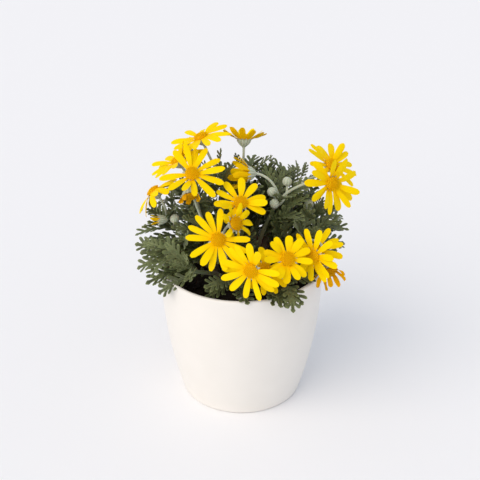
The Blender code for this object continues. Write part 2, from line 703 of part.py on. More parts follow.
def petal_test(setting, ring_radius, widths, frame, start_share):
    """A slightly thick copy of one petal, to test that it is clear."""
    bm = bmesh.new()
    rings = []
    root = 2 * ring_radius * math.sin(math.radians(PETAL_ROOT_HALF_ANGLE))
    start_width = root + (widths[0] - root) * start_share / PETAL_WIDEST
    stations = ((start_share, start_width), (PETAL_WIDEST, widths[0]), (1.0, widths[1]))
    for share, width in stations:
        half = width / 2 + TEST_MARGIN
        thick = RING_THICKNESS / 2 + TEST_MARGIN
        corners = ((-half, -thick), (half, -thick), (half, thick), (-half, thick))
        rings.append([bm.verts.new(frame @ petal_point(setting, ring_radius, share, out, up))
                      for out, up in corners])
    for near, far in zip(rings, rings[1:]):
        for corner in range(4):
            following = (corner + 1) % 4
            bm.faces.new((near[corner], near[following], far[following], far[corner]))
    bm.faces.new(rings[0])
    bm.faces.new(rings[-1])
    bm.verts.index_update()
    solid = solid_tree(bm)
    bm.free()
    return solid


def petal_ring(name, frame, petals, reach, curl, ring_radius, widths):
    """One flat star, cut out and thickened, with each petal then bent to its rise."""
    settings = {}
    siblings = []
    for petal in sorted(petals):
        for attempt in range(len(PETAL_TRIES)):
            setting = petal_setting(petal, reach, curl, ring_radius, attempt)
            blade = petal_test(setting, ring_radius, widths, frame, PETAL_TEST_FROM)
            outer = petal_test(setting, ring_radius, widths, frame, SIBLING_TEST_FROM)[0]
            crossing = any(outer.overlap(sibling) for sibling in siblings)
            if not crossing and is_clear(blade, name):
                placed.append((name, blade))
                siblings.append(outer)
                settings[petal[0]] = setting
                break
        else:
            print("no room for petal", name, petal)
    clocks = sorted(settings)
    bm = bmesh.new()
    owner = bm.verts.layers.int.new("petal")

    def rim_corner(degrees):
        turn = math.radians(degrees)
        corner = bm.verts.new((ring_radius * math.cos(turn), ring_radius * math.sin(turn), 0))
        corner[owner] = RING_ITSELF
        return corner

    roots = [[] for _ in clocks]
    rim = []
    for place, clock in enumerate(clocks):
        after = (place + 1) % len(clocks)
        following = clocks[after] + (0 if after else 360)
        half_gap = (following - clock) / 2
        if half_gap <= PETAL_ROOT_HALF_ANGLE:
            shared = [rim_corner(clock + half_gap)] * 2
        else:
            shared = [rim_corner(clock + PETAL_ROOT_HALF_ANGLE),
                      rim_corner(following - PETAL_ROOT_HALF_ANGLE)]
        roots[place].append(shared[0])
        roots[after].insert(0, shared[1])
        rim += shared if shared[0] != shared[1] else shared[:1]
    for clock, near in zip(clocks, roots):
        length = settings[clock][1]
        angle = math.radians(clock)
        outward = Vector((math.cos(angle), math.sin(angle), 0))
        across = Vector((-math.sin(angle), math.cos(angle), 0))
        for share, half in ((PETAL_WIDEST, widths[0] / 2), (1, widths[1] / 2)):
            far = []
            for out in (-half, half):
                corner = bm.verts.new(outward * (ring_radius + length * share) + across * out)
                corner[owner] = clock
                far.append(corner)
            bm.faces.new((near[0], far[0], far[1], near[1]))
            near = far
    bm.faces.new(rim)
    bmesh.ops.triangulate(bm, faces=bm.faces)
    grown = bmesh.ops.extrude_face_region(bm, geom=bm.faces[:])
    top = [item for item in grown["geom"] if isinstance(item, bmesh.types.BMVert)]
    bmesh.ops.translate(bm, verts=top, vec=(0, 0, RING_THICKNESS))
    for vertex in bm.verts:
        height = vertex.co.z - RING_THICKNESS / 2
        clock = vertex[owner]
        if clock == RING_ITSELF:
            vertex.co.z = height
            continue
        angle = math.radians(clock)
        outward = Vector((math.cos(angle), math.sin(angle), 0))
        across = Vector((-math.sin(angle), math.cos(angle), 0))
        share = (vertex.co.dot(outward) - ring_radius) / settings[clock][1]
        out = vertex.co.dot(across)
        vertex.co = petal_point(settings[clock], ring_radius, share, out,
                                height * PETAL_THINNING)
    bmesh.ops.transform(bm, matrix=frame, verts=bm.verts)
    return mesh_from(bm, name)


def floret_dome(name, frame):
    """A hexagonal sheet rounded to a dome, with every third point raised as a floret."""
    bm = bmesh.new()
    bmesh.ops.create_circle(bm, cap_ends=True, cap_tris=True, segments=6, radius=1.0)
    bmesh.ops.subdivide_edges(bm, edges=bm.edges, cuts=FLORET_CUTS, use_grid_fill=True)
    lift = RING_THICKNESS / 2 + GAP
    apothem = math.cos(math.pi / 6)
    for vertex in bm.verts:
        flat = vertex.co.copy()
        bearings = [math.tau * turn / 6 for turn in range(6)]
        hexagon = max(flat.x * math.cos(turn) + flat.y * math.sin(turn) for turn in bearings)
        share = hexagon / apothem
        bearing = math.atan2(flat.y, flat.x)
        row = flat.x / apothem * (FLORET_CUTS + 1)
        column = flat.y * (FLORET_CUTS + 1) - row / 2
        is_floret = round(column - row) % 3 == 0
        height = FLORET_DOME_HEIGHT * (1 - share ** FLORET_DOME_POWER)
        height += FLORET_RELIEF if is_floret else 0
        radius = FLORET_DOME_RADIUS * share
        if share > 0.99:
            height = 0
        vertex.co = (radius * math.cos(bearing), radius * math.sin(bearing), lift + height)
    border = [edge for edge in bm.edges if edge.is_boundary]
    bmesh.ops.contextual_create(bm, geom=border)
    bmesh.ops.transform(bm, matrix=frame, verts=bm.verts)
    return mesh_from(bm, name)


def cup_mesh(frame, radius):
    """Green cup under a head, with its stalk end pointing back."""
    bm = bmesh.new()
    top = -RING_THICKNESS / 2 - GAP
    place = Matrix.Translation((0, 0, top - CUP_HEIGHT / 2))
    bmesh.ops.create_cone(bm, cap_ends=True, segments=CUP_SIDES, radius1=CUP_NECK_RADIUS,
                          radius2=radius, depth=CUP_HEIGHT, matrix=frame @ place)
    return mesh_from(bm, "cup")


def stalk_setting(number, order, end, heading, attempt):
    """Curve handles of a stalk from near its stem's tip to a head or bud."""
    step, turn = STALK_TRIES[attempt]
    share = STALK_FROM - STALK_LOWER * order
    start = stem_point(number, share)
    span = (end - start).length
    across = heading.orthogonal().normalized()
    sway = (across * math.cos(math.radians(turn))
            + heading.cross(across) * math.sin(math.radians(turn))) * step
    start_handle = start + stem_heading(number, share) * span * STALK_START_HANDLE + sway
    return start, start_handle, end - heading * span * STALK_END_HANDLE + sway, end


def stalk_mesh(number, order, end, heading):
    """The first curve from stem to head that stays clear of other stems and heads."""
    node = stem_name(number)
    span = (end - stem_point(number, 1)).length
    spans = 4 if span > LONG_STALK else 3
    for attempt in range(len(STALK_TRIES)):
        setting = stalk_setting(number, order, end, heading, attempt)
        points = [bezier(*setting, step / spans) for step in range(spans + 1)]
        test = tube(points, [STALK_RADIUS + TEST_MARGIN] * len(points), 0)
        solid = solid_tree(test)
        bpy.data.meshes.remove(test)
        if is_clear(solid, node):
            placed.append((node, solid))
            return tube(points, [STALK_RADIUS] * len(points), 0)
    print("no clear way for stalk", number, end)
    return tube(points, [STALK_RADIUS] * len(points), 0)


def stem_name(number):
    return f"leafy_stem_{number:02d}"


def fuse(name, meshes, look):
    """One solid from overlapping pieces, by a Boolean union on a collection."""
    pieces = collection(name + "_pieces")
    for mesh in meshes[1:]:
        pieces.objects.link(bpy.data.objects.new(mesh.name, mesh))
    made = add_object(name, meshes[0], look)
    union = made.modifiers.new("union", "BOOLEAN")
    union.operation = "UNION"
    union.operand_type = "COLLECTION"
    union.collection = pieces
    union.solver = "MANIFOLD"
    mesh = evaluated_mesh(made)
    made.modifiers.clear()
    made.data = mesh
    for piece in list(pieces.objects):
        bpy.data.objects.remove(piece)
    bpy.data.collections.remove(pieces)
    mesh.materials.clear()
    mesh.materials.append(look)
    return made


def bud_mesh(place):
    bm = bmesh.new()
    bmesh.ops.create_uvsphere(bm, u_segments=6, v_segments=4, radius=BUD_RADIUS,
                              matrix=Matrix.Translation(place))
    return mesh_from(bm, "bud")


def build_plant():
    """Stems first, then heads, then the leaves in what room is left."""
    pieces = {number: [stem_tube(number)] for number in STEMS}
    for number, meshes in pieces.items():
        placed.append((stem_name(number), solid_tree(meshes[0])))

    ends = []
    for head in HEADS.values():
        frame = head_matrix(head["at"], head["faces"])
        cup = cup_mesh(frame, CUP_RADIUS)
        back = frame @ Vector((0, 0, -RING_THICKNESS / 2 - GAP - CUP_HEIGHT * STALK_END_IN_CUP))
        ends.append((head["stem"], cup, back, frame.col[2].xyz))
    opening = head_matrix(OPENING_BUD["at"], OPENING_BUD["faces"])
    opening_cup = cup_mesh(opening, OPENING_BUD_CUP_RADIUS)
    opening_back = opening @ Vector((0, 0, -CUP_HEIGHT * STALK_END_IN_CUP))
    ends.append((OPENING_BUD["stem"], opening_cup, opening_back, opening.col[2].xyz))
    for number, place in BUDS:
        centre = Vector(place) * MM
        heading = (centre - stem_point(number, STALK_FROM)).normalized()
        ends.append((number, bud_mesh(centre), centre, heading))

    for number, mesh, _, _ in ends:
        placed.append((stem_name(number), solid_tree(mesh)))
        pieces[number].append(mesh)
    orders = {number: 0 for number in STEMS}
    for number, _, end, heading in ends:
        pieces[number].append(stalk_mesh(number, orders[number], end, heading))
        orders[number] += 1

    yellow = material("yellow_petals", (1.0, 0.72, 0.0), 0.5)
    orange = material("orange_florets", (0.85, 0.33, 0.01), 0.7)
    frames = {name: head_matrix(head["at"], head["faces"]) for name, head in HEADS.items()}
    for name, head in HEADS.items():
        mesh = floret_dome(f"head_{name}_florets", frames[name])
        add_object(f"head_{name}_florets", mesh, orange)
        placed.append((f"head_{name}_florets", solid_tree(mesh)))
    widths = (PETAL_WIDTH, PETAL_TIP_WIDTH)
    for name, head in HEADS.items():
        mesh = petal_ring(f"head_{name}_petals", frames[name], head["petals"], head["reach"] * MM,
                          math.radians(head["curl"]), RING_RADIUS, widths)
        add_object(f"head_{name}_petals", mesh, yellow)
    folded = [(OPENING_BUD_FIRST_CLOCK + 360 * index // OPENING_BUD_PETALS, OPENING_BUD_RISE)
              for index in range(OPENING_BUD_PETALS)]
    widths = (OPENING_BUD_WIDTH, OPENING_BUD_TIP_WIDTH)
    mesh = petal_ring("opening_bud_petals", opening, folded, OPENING_BUD_REACH, OPENING_BUD_CURL,
                      OPENING_BUD_RING_RADIUS, widths)
    add_object("opening_bud_petals", mesh, yellow)

    green = material("felted_green", (0.10, 0.14, 0.06), 0.8)
    for number, meshes in pieces.items():
        fuse(stem_name(number), meshes + grow_leaves(number), green)


for leftover in list(bpy.data.objects):
    bpy.data.objects.remove(leftover)
part = collection("potted_euryops")
cutters = collection("cutters")
placed = []
for pot in (build_cover_pot(), build_nursery_pot(), build_soil()):
    outline = evaluated_mesh(pot)
    placed.append((pot.name, solid_tree(outline)))
    bpy.data.meshes.remove(outline)
# Stems stand in the soil's holes, so only leaves and petals are tested against the soil
build_plant()
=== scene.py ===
# %% [markdown]
# # A potted euryops
#
# The real object is a small yellow daisy bush that grows in a brown plastic nursery pot, which
# stands in a plain white glazed cover pot. Its stems fan out from the soil, carry finely cut
# felted leaves, and end in woolly stalks with flower heads and buds.
#
# The construction model already fixes where every stem, petal and leaf is. This scene dresses it:
# each coarse solid is replaced by finer pieces of the same form, made here from the same rules,
# and more leaves are grown where the real bush is dense.

import random
from math import atan2, cos, pi, radians, sin, sqrt, tau

import bmesh
import bpy
import numpy as np
from mathutils import Matrix, Vector
from mathutils.bvhtree import BVHTree
from mathutils.kdtree import KDTree


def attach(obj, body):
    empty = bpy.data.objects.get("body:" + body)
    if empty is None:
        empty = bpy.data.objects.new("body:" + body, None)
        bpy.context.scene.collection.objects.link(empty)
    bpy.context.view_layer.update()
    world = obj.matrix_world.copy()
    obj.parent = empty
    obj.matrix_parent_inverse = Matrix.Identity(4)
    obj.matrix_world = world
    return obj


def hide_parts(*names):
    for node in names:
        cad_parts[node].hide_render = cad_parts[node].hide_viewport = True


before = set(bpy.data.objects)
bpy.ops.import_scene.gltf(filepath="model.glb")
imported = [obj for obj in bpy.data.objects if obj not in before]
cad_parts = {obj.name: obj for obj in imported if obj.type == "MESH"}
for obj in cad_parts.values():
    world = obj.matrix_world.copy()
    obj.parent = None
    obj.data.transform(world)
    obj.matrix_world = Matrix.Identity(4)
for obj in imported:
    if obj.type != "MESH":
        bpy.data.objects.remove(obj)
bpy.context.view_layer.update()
MM = 0.001

# %% [markdown]
# ## The photographer's camera
#
# The picture looks down on the pot at 27 degrees, from about three quarters of a metre away. The
# pot's rim, base and sides fix these values, so a petal that is placed in the model lands on the
# same spot of the picture. A lens of 67.5 mm on a 36 mm sensor keeps the near and far petals
# almost the same size, as in the picture.

# %% Camera
CAMERA_PITCH = radians(27.1)
CAMERA_PLACE = Vector((-0.00145, -0.6837, 0.4929))
CAMERA_LENS = 67.5
SENSOR_WIDTH = 36.0

scene = bpy.context.scene


def add_object(name, data):
    """A new object of this mesh, camera or light, linked into the scene."""
    made = bpy.data.objects.new(name, data)
    scene.collection.objects.link(made)
    return made


camera_data = bpy.data.cameras.new("camera")
camera_data.lens = CAMERA_LENS
camera_data.sensor_width = SENSOR_WIDTH
camera_data.clip_start = 0.01
camera = add_object("camera", camera_data)
camera.location = CAMERA_PLACE
camera.rotation_euler = (pi / 2 - CAMERA_PITCH, 0, 0)
scene.camera = camera
scene.view_settings.view_transform = "Standard"
print("camera at", [round(value, 3) for value in camera.location])

# %% [markdown]
# ## Light
#
# The picture has a bright, almost shadowless studio: a white surround gives two thirds of the
# light, slightly blue in the shadow, and one large lamp behind the camera's left shoulder gives
# the rest, slightly warm. A sun with a wide angle lights the whole floor evenly, which a lamp
# close by can't, and its width is what makes the shadow's edge soft.

# %% Surround and key light
def linear(hex_colour):
    """sRGB hex to the linear colour that shaders need."""
    channels = [int(hex_colour[place:place + 2], 16) / 255 for place in (1, 3, 5)]
    bent = [value / 12.92 if value <= 0.04045 else ((value + 0.055) / 1.055) ** 2.4
            for value in channels]
    return (*bent, 1.0)


SURROUND_COLOUR = "#F1F6FF"
SURROUND_STRENGTH = 0.752
KEY_COLOUR = "#FFF3E4"
KEY_STRENGTH = 1.68
KEY_WIDTH = radians(60)
KEY_LEFT = radians(47)
KEY_HEIGHT = radians(38)

world = bpy.data.worlds.new("surround")
world.use_nodes = True
background = world.node_tree.nodes["Background"]
background.inputs["Color"].default_value = linear(SURROUND_COLOUR)
background.inputs["Strength"].default_value = SURROUND_STRENGTH
scene.world = world

key_data = bpy.data.lights.new("key_light", "SUN")
key_data.color = linear(KEY_COLOUR)[:3]
key_data.energy = KEY_STRENGTH
key_data.angle = KEY_WIDTH
key = add_object("key_light", key_data)
key_from = Vector((-sin(KEY_LEFT) * cos(KEY_HEIGHT),
                   -cos(KEY_LEFT) * cos(KEY_HEIGHT), sin(KEY_HEIGHT)))
key.rotation_euler = (-key_from).to_track_quat("-Z", "Y").to_euler()
print("key light from", [round(value, 2) for value in key_from])

# %% [markdown]
# ## How materials are written
#
# Every finish is a Principled shader whose colours, roughness and bump come from small node
# trees. One function adds a node with its options, its numbers and its links, and short ones
# built on it add what every finish needs. Each grown piece carries four marks at every point,
# stored as a colour. The first two say where the point lies or how old the piece is, the third
# whether it is on the underside, which petals and leaves paint darker as shade, and the fourth
# is a random tone.

# %% Material helpers
def add_node(tree, kind, values=None, links=None, **options):
    """Add one node with its options, its sockets' values and the links into it."""
    made = tree.nodes.new(kind)
    for name, value in options.items():
        setattr(made, name, value)
    for name, value in (values or {}).items():
        made.inputs[name].default_value = value
    for name, source in (links or {}).items():
        tree.links.new(source, made.inputs[name])
    return made


def new_finish(name, **values):
    """A material with its Principled shader's own values set."""
    made = bpy.data.materials.new(name)
    made.use_nodes = True
    tree = made.node_tree
    shader = tree.nodes["Principled BSDF"]
    for socket, value in values.items():
        shader.inputs[socket.replace("_", " ")].default_value = value
    return made, tree, shader


def per_metre(millimetres):
    """Texture scale for a feature of this size."""
    return 1 / (millimetres * MM)


def object_place(tree):
    return add_node(tree, "ShaderNodeTexCoord").outputs["Object"]


def read_marks(tree):
    """The four marks of a grown piece."""
    marks = add_node(tree, "ShaderNodeAttribute", attribute_name="marks")
    split = add_node(tree, "ShaderNodeSeparateColor", links={"Color": marks.outputs["Color"]})
    return [split.outputs[name] for name in ("Red", "Green", "Blue")] + [marks.outputs["Alpha"]]


def noise(tree, place, millimetres, **values):
    values["Scale"] = per_metre(millimetres)
    return add_node(tree, "ShaderNodeTexNoise", values, {"Vector": place}).outputs["Fac"]


def ranged(tree, value, low, high, most=1.0):
    """Stretch what lies between low and high onto 0 to most."""
    values = {"From Min": low, "From Max": high, "To Max": most}
    return add_node(tree, "ShaderNodeMapRange", values, {"Value": value}).outputs["Result"]


def mix(tree, weight, low, high):
    """Mix two colours; the first is a hex value or a node's output, the second a hex value."""
    values, links = {7: linear(high)}, {0: weight}
    if isinstance(low, str):
        values[6] = linear(low)
    else:
        links[6] = low
    return add_node(tree, "ShaderNodeMix", values, links, data_type="RGBA").outputs[2]


def paint(tree, shader, colour):
    tree.links.new(colour, shader.inputs["Base Color"])


def add_bump(tree, shader, height, strength, millimetres):
    """Add a bump of this strength and depth over any that is there."""
    normal = shader.inputs["Normal"]
    links = {"Height": height}
    if normal.is_linked:
        links["Normal"] = normal.links[0].from_socket
    values = {"Strength": strength, "Distance": millimetres * MM}
    tree.links.new(add_node(tree, "ShaderNodeBump", values, links).outputs["Normal"], normal)


# %% [markdown]
# ## Floor
#
# A plain pale sheet of paper, without a horizon in the picture. It only has to be even and matt.

# %% Floor
FLOOR_SIDE = 8.0
FLOOR_DEPTH = 0.05 * MM

floor_paper, _, _ = new_finish("studio_paper", Base_Color=linear("#F4F4F6"), Roughness=0.9)
bpy.ops.mesh.primitive_plane_add(size=FLOOR_SIDE, location=(0, 0, -FLOOR_DEPTH))
floor = bpy.context.object
floor.name = "floor"
floor.data.materials.append(floor_paper)
print("floor", FLOOR_SIDE, "m")

# %% [markdown]
# ## Gathering points into pieces
#
# A bush has thousands of small skins: petals, lobes, florets. Each is a loft, a row of rings of
# points with a cap at both ends, so each is a closed surface with a real thickness. They could
# each be an object, but one piece for each head and stem is far lighter, so a pile gathers lofts
# and turns into one mesh at the end.

# %% Lofts and piles
SHARP_FROM = radians(50)


class Pile:
    """Lofts gathered for one piece, with their marks."""

    def __init__(self):
        self.points = []
        self.marks = []
        self.faces = []
        self.count = 0

    def add_loft(self, rings, marks):
        """Rings is (rows, points, 3) and marks (rows, points, 4)."""
        rows, around = rings.shape[:2]
        first = self.count
        for row in range(rows - 1):
            near = first + row * around
            for place in range(around):
                beside = (place + 1) % around
                self.faces.append((near + place, near + beside, near + around + beside,
                                   near + around + place))
        self.faces.append(tuple(range(first + around - 1, first - 1, -1)))
        last = first + (rows - 1) * around
        self.faces.append(tuple(range(last, last + around)))
        self.points.append(rings.reshape(-1, 3))
        self.marks.append(np.broadcast_to(marks, (rows, around, 4)).reshape(-1, 4))
        self.count += rows * around

    def make(self, name, finish):
        """One smooth mesh object from all that was gathered."""
        mesh = bpy.data.meshes.new(name)
        mesh.from_pydata(np.concatenate(self.points).tolist(), [], self.faces)
        stored = mesh.attributes.new("marks", "FLOAT_COLOR", "POINT")
        stored.data.foreach_set("color", np.concatenate(self.marks).astype(np.float32).ravel())
        bm = bmesh.new()
        bm.from_mesh(mesh)
        bmesh.ops.recalc_face_normals(bm, faces=bm.faces)
        bm.to_mesh(mesh)
        bm.free()
        mesh.shade_smooth()
        mesh.set_sharp_from_angle(angle=SHARP_FROM)
        mesh.materials.append(finish)
        return add_object(name, mesh)


def marked(*marks):
    """Marks of every point of some rings, each given as one number or as an array."""
    return np.stack(np.broadcast_arrays(*marks), axis=-1)


def bearings_round(sides):
    """Evenly spaced bearings, once round."""
    return np.arange(sides) * tau / sides


def circle(radius, height, bearings):
    """Points round the Z axis; their radius and height may change on the way."""
    return np.stack([radius * np.cos(bearings), radius * np.sin(bearings),
                     np.broadcast_to(height, bearings.shape)], axis=1)


def ring_points(centre, axis_x, axis_y, radius, sides, star=0.0):
    """A ring in the plane of two axes; star draws every second point in."""
    bearings = bearings_round(sides)
    reach = radius * (1 - star * (np.arange(sides) % 2))
    return (centre + (reach * np.cos(bearings))[:, None] * axis_x
            + (reach * np.sin(bearings))[:, None] * axis_y)


def dress(piece, slot, *nodes):
    """The piece rides on the plant and stands for these solids, which it hides; its slot is not
    used.
    """
    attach(piece, "root")
    if nodes:
        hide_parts(*nodes)


def triangles(piece):
    piece.data.calc_loop_triangles()
    return len(piece.data.loop_triangles)


# %% [markdown]
# ## Turned pots
#
# Both pots are round, so each is a profile turned about its axis: a potter throws or casts the
# cover pot, and a mould makes the nursery pot. The profile follows the construction's outline
# with many more points, so that the rim and foot are truly round.

# %% Turning
POT_SEGMENTS = 128
POT_SHARP_FROM = radians(60)
POT_MERGE = 0.01 * MM


def apply_modifiers(made):
    """Keep what an object's modifiers make of its mesh, and drop the modifiers."""
    depsgraph = bpy.context.evaluated_depsgraph_get()
    made.data = bpy.data.meshes.new_from_object(made.evaluated_get(depsgraph))
    made.modifiers.clear()


def turned(name, profile, finish):
    """Turn a profile, which runs up the inside and down the outside, about Z."""
    mesh = bpy.data.meshes.new(name)
    mesh.from_pydata([(radius, 0, height) for radius, height in profile],
                     [(place, place + 1) for place in range(len(profile) - 1)], [])
    made = add_object(name, mesh)
    screw = made.modifiers.new("turn", "SCREW")
    screw.steps = POT_SEGMENTS
    screw.render_steps = POT_SEGMENTS
    screw.use_merge_vertices = True
    screw.merge_threshold = POT_MERGE
    screw.use_smooth_shade = True
    apply_modifiers(made)
    made.data.set_sharp_from_angle(angle=POT_SHARP_FROM)
    made.data.materials.append(finish)
    return made


# %% [markdown]
# ## Cover pot
#
# Earthenware with a white satin glaze. A satin glaze breaks up reflections, so roughness is about
# 0.4, and it pools a little, which gives very low waves some centimetres apart and a fine orange
# peel under a millimetre. The peel is too fine to show at this size, so it is drawn at 1.2 mm.

# %% Satin glaze
glaze, tree, shader = new_finish("satin_white_glaze", Base_Color=linear("#EDE9E3"),
                                 Roughness=0.42, IOR=1.5, Coat_Weight=0.12, Coat_Roughness=0.3)
place = object_place(tree)
pooling = noise(tree, place, 22, Detail=1.0)
paint(tree, shader, mix(tree, pooling, "#EFEBE5", "#EAE6DF"))
add_bump(tree, shader, pooling, 0.12, 0.2)
add_bump(tree, shader, noise(tree, place, 1.2, Detail=2.0), 0.12, 0.05)
print("finish:", glaze.name)

# %% Cover pot, turned
COVER_HEIGHT = 123.0 * MM
COVER_RIM_RADIUS = 70.0 * MM
COVER_BASE_RADIUS = 52.8 * MM
COVER_FLARE = 2.15
COVER_WALL = 3.5 * MM
COVER_FLOOR = 4.0 * MM
COVER_FOOT_EDGE = 2.5 * MM
COVER_INNER_CORNER = 2.0 * MM
COVER_LEVELS = 36
LIP_POINTS = 14
FOOT_POINTS = 8


def cover_radius(height):
    """Outer radius, which flares fast above the base and less at the rim."""
    share = 1 - (1 - height / COVER_HEIGHT) ** COVER_FLARE
    return COVER_BASE_RADIUS + (COVER_RIM_RADIUS - COVER_BASE_RADIUS) * share


def cover_profile():
    """Up the inside, over the rounded lip, down the outside and round the foot's edge."""
    lip = COVER_WALL / 2
    top = COVER_HEIGHT - lip
    heights = np.linspace(COVER_FLOOR + COVER_INNER_CORNER, top, COVER_LEVELS)
    flat = cover_radius(COVER_FLOOR) - COVER_WALL - COVER_INNER_CORNER
    points = [(0, COVER_FLOOR), (flat, COVER_FLOOR)]
    points += [(cover_radius(height) - COVER_WALL, height) for height in heights]
    middle = cover_radius(top) - lip
    for turn in np.linspace(0, pi, LIP_POINTS + 2)[1:-1]:
        points.append((middle - lip * cos(turn), top + lip * sin(turn)))
    heights = np.linspace(top, COVER_FOOT_EDGE, COVER_LEVELS)
    points += [(cover_radius(height), height) for height in heights]
    for turn in np.linspace(0, pi / 2, FOOT_POINTS)[1:]:
        radius = cover_radius(COVER_FOOT_EDGE) - COVER_FOOT_EDGE * (1 - cos(turn))
        points.append((radius, COVER_FOOT_EDGE * (1 - sin(turn))))
    return points + [(0, 0)]


cover_pot = turned("cover_pot_glazed", cover_profile(), glaze)
dress(cover_pot, "white_glaze", "cover_pot")
print("cover pot:", triangles(cover_pot), "triangles")

# %% [markdown]
# ## Nursery pot
#
# Blow-moulded polypropylene, terracotta brown, with a wall of 1.5 mm and a rolled band at its
# rim. Moulded polypropylene is slightly waxy: roughness about 0.5, IOR 1.49, with a fine grain
# from the mould and a dusting of dried soil.

# %% Moulded polypropylene
brown_plastic, tree, shader = new_finish("moulded_brown_polypropylene",
                                         Base_Color=linear("#7A4128"), Roughness=0.5, IOR=1.49)
place = object_place(tree)
dust = ranged(tree, noise(tree, place, 7, Detail=6.0), 0.5, 0.72, 0.55)
paint(tree, shader, mix(tree, dust, "#7A4128", "#8C6A50"))
add_bump(tree, shader, noise(tree, place, 0.6), 0.25, 0.05)
print("finish:", brown_plastic.name)

# %% Nursery pot, turned and pierced
GAP = 0.3 * MM
NURSERY_BOTTOM = COVER_FLOOR + GAP
NURSERY_TOP = 117.0 * MM
NURSERY_BASE_RADIUS = 45.0 * MM
NURSERY_NECK_RADIUS = 61.5 * MM
NURSERY_RIM_RADIUS = 63.5 * MM
NURSERY_RIM_BAND = 6.0 * MM
NURSERY_WALL = 1.5 * MM
NURSERY_EDGE = 0.6 * MM
DRAIN_HOLES = 4
DRAIN_HOLE_RADIUS = 4.5 * MM
DRAIN_HOLE_CIRCLE = 30.0 * MM
DRAIN_HOLE_SIDES = 24


def nursery_radius(height):
    """Outer radius of the straight side below the rim band."""
    neck = NURSERY_TOP - NURSERY_RIM_BAND
    share = (height - NURSERY_BOTTOM) / (neck - NURSERY_BOTTOM)
    return NURSERY_BASE_RADIUS + (NURSERY_NECK_RADIUS - NURSERY_BASE_RADIUS) * share


def nursery_profile():
    """Up the inside, over the rim band, down the outside and under the base."""
    floor_top = NURSERY_BOTTOM + NURSERY_WALL
    neck = NURSERY_TOP - NURSERY_RIM_BAND
    rim_inside = NURSERY_RIM_RADIUS - NURSERY_WALL
    return [
        (0, floor_top),
        (nursery_radius(floor_top) - NURSERY_WALL, floor_top),
        (NURSERY_NECK_RADIUS - NURSERY_WALL, neck - NURSERY_WALL),
        (rim_inside, neck + NURSERY_WALL),
        (rim_inside, NURSERY_TOP - NURSERY_EDGE),
        (rim_inside + NURSERY_EDGE, NURSERY_TOP),
        (NURSERY_RIM_RADIUS - NURSERY_EDGE, NURSERY_TOP),
        (NURSERY_RIM_RADIUS, NURSERY_TOP - NURSERY_EDGE),
        (NURSERY_RIM_RADIUS, neck),
        (NURSERY_NECK_RADIUS, neck - NURSERY_EDGE),
        (NURSERY_BASE_RADIUS + NURSERY_EDGE, NURSERY_BOTTOM + 2 * NURSERY_EDGE),
        (NURSERY_BASE_RADIUS - NURSERY_EDGE, NURSERY_BOTTOM),
        (0, NURSERY_BOTTOM),
    ]


nursery_pot = turned("nursery_pot_moulded", nursery_profile(), brown_plastic)
bm = bmesh.new()
for hole in range(DRAIN_HOLES):
    bearing = tau * hole / DRAIN_HOLES
    centre = Matrix.Translation((DRAIN_HOLE_CIRCLE * cos(bearing),
                                 DRAIN_HOLE_CIRCLE * sin(bearing), NURSERY_BOTTOM))
    bmesh.ops.create_cone(bm, cap_ends=True, segments=DRAIN_HOLE_SIDES, radius1=DRAIN_HOLE_RADIUS,
                          radius2=DRAIN_HOLE_RADIUS, depth=10 * NURSERY_WALL, matrix=centre)
punch_mesh = bpy.data.meshes.new("drain_punch")
bm.to_mesh(punch_mesh)
bm.free()
punch = add_object("drain_punch", punch_mesh)
pierce = nursery_pot.modifiers.new("pierce", "BOOLEAN")
pierce.operation = "DIFFERENCE"
pierce.object = punch
apply_modifiers(nursery_pot)
bpy.data.objects.remove(punch)
dress(nursery_pot, "brown_plastic", "nursery_pot")
print("nursery pot:", triangles(nursery_pot), "triangles")

# %% [markdown]
# ## Potting soil
#
# Peat with fibres, bark crumbs and a little white perlite. Moist peat is nearly black and has no
# gloss at all, and its colours here are darker still: painted shade, since the soil lies deep in
# shade under the leaves. The bed is one round body whose top has lumps of two sizes, and loose
# crumbs are scattered over it, because the edge of each crumb is what tells the eye that it is
# soil.

# %% Peat and perlite
peat, tree, shader = new_finish("moist_peat_darkened_as_shade", Roughness=0.97, IOR=1.4)
fibre = noise(tree, object_place(tree), 2.2, Detail=8.0)
# Painted shade: both peat colours are darker than moist peat's own.
paint(tree, shader, mix(tree, fibre, "#0C0805", "#2C2016"))
add_bump(tree, shader, fibre, 0.9, 0.6)

perlite, tree, shader = new_finish("white_perlite", Base_Color=linear("#E9E6DE"), Roughness=0.9)
pores = add_node(tree, "ShaderNodeTexVoronoi", {"Scale": per_metre(0.5)},
                 {"Vector": object_place(tree)})
add_bump(tree, shader, pores.outputs["Distance"], 0.6, 0.15)
print("finishes:", peat.name, perlite.name)

# %% Soil bed and crumbs
SOIL_TOP = 104.0 * MM
SOIL_RINGS = 44
SOIL_SPOKES = 120
CRUMBS = 520
CRUMB_SIZES = (0.7 * MM, 2.3 * MM)
PERLITE_EVERY = 26
LUMP_STRETCHES = ((0.6, 1.5), (0.5, 1.0), (0.4, 0.8))
LUMP_DENTS = (0.75, 1.2)
LUMP_RISE = 0.2
SOIL_EDGE_POWER = 8
SOIL_LUMP_SIZE = 6 * MM
SOIL_LUMP_HEIGHT = 0.8
SOIL_CRUMB_HEIGHT = 0.5
SOIL_SEED = 11


def soil_height(x, y):
    """Lumps a few centimetres across, and finer ones of some millimetres."""
    across, deep = x / SOIL_LUMP_SIZE, y / SOIL_LUMP_SIZE
    lumps = SOIL_LUMP_HEIGHT * np.sin(1.7 * across + 0.6 * deep) * np.cos(1.3 * deep - 0.4 * across)
    crumbs = SOIL_CRUMB_HEIGHT * np.sin(5.1 * across + 2.3) * np.sin(4.3 * deep + 1.1 * across)
    return SOIL_TOP + (lumps + crumbs) * MM


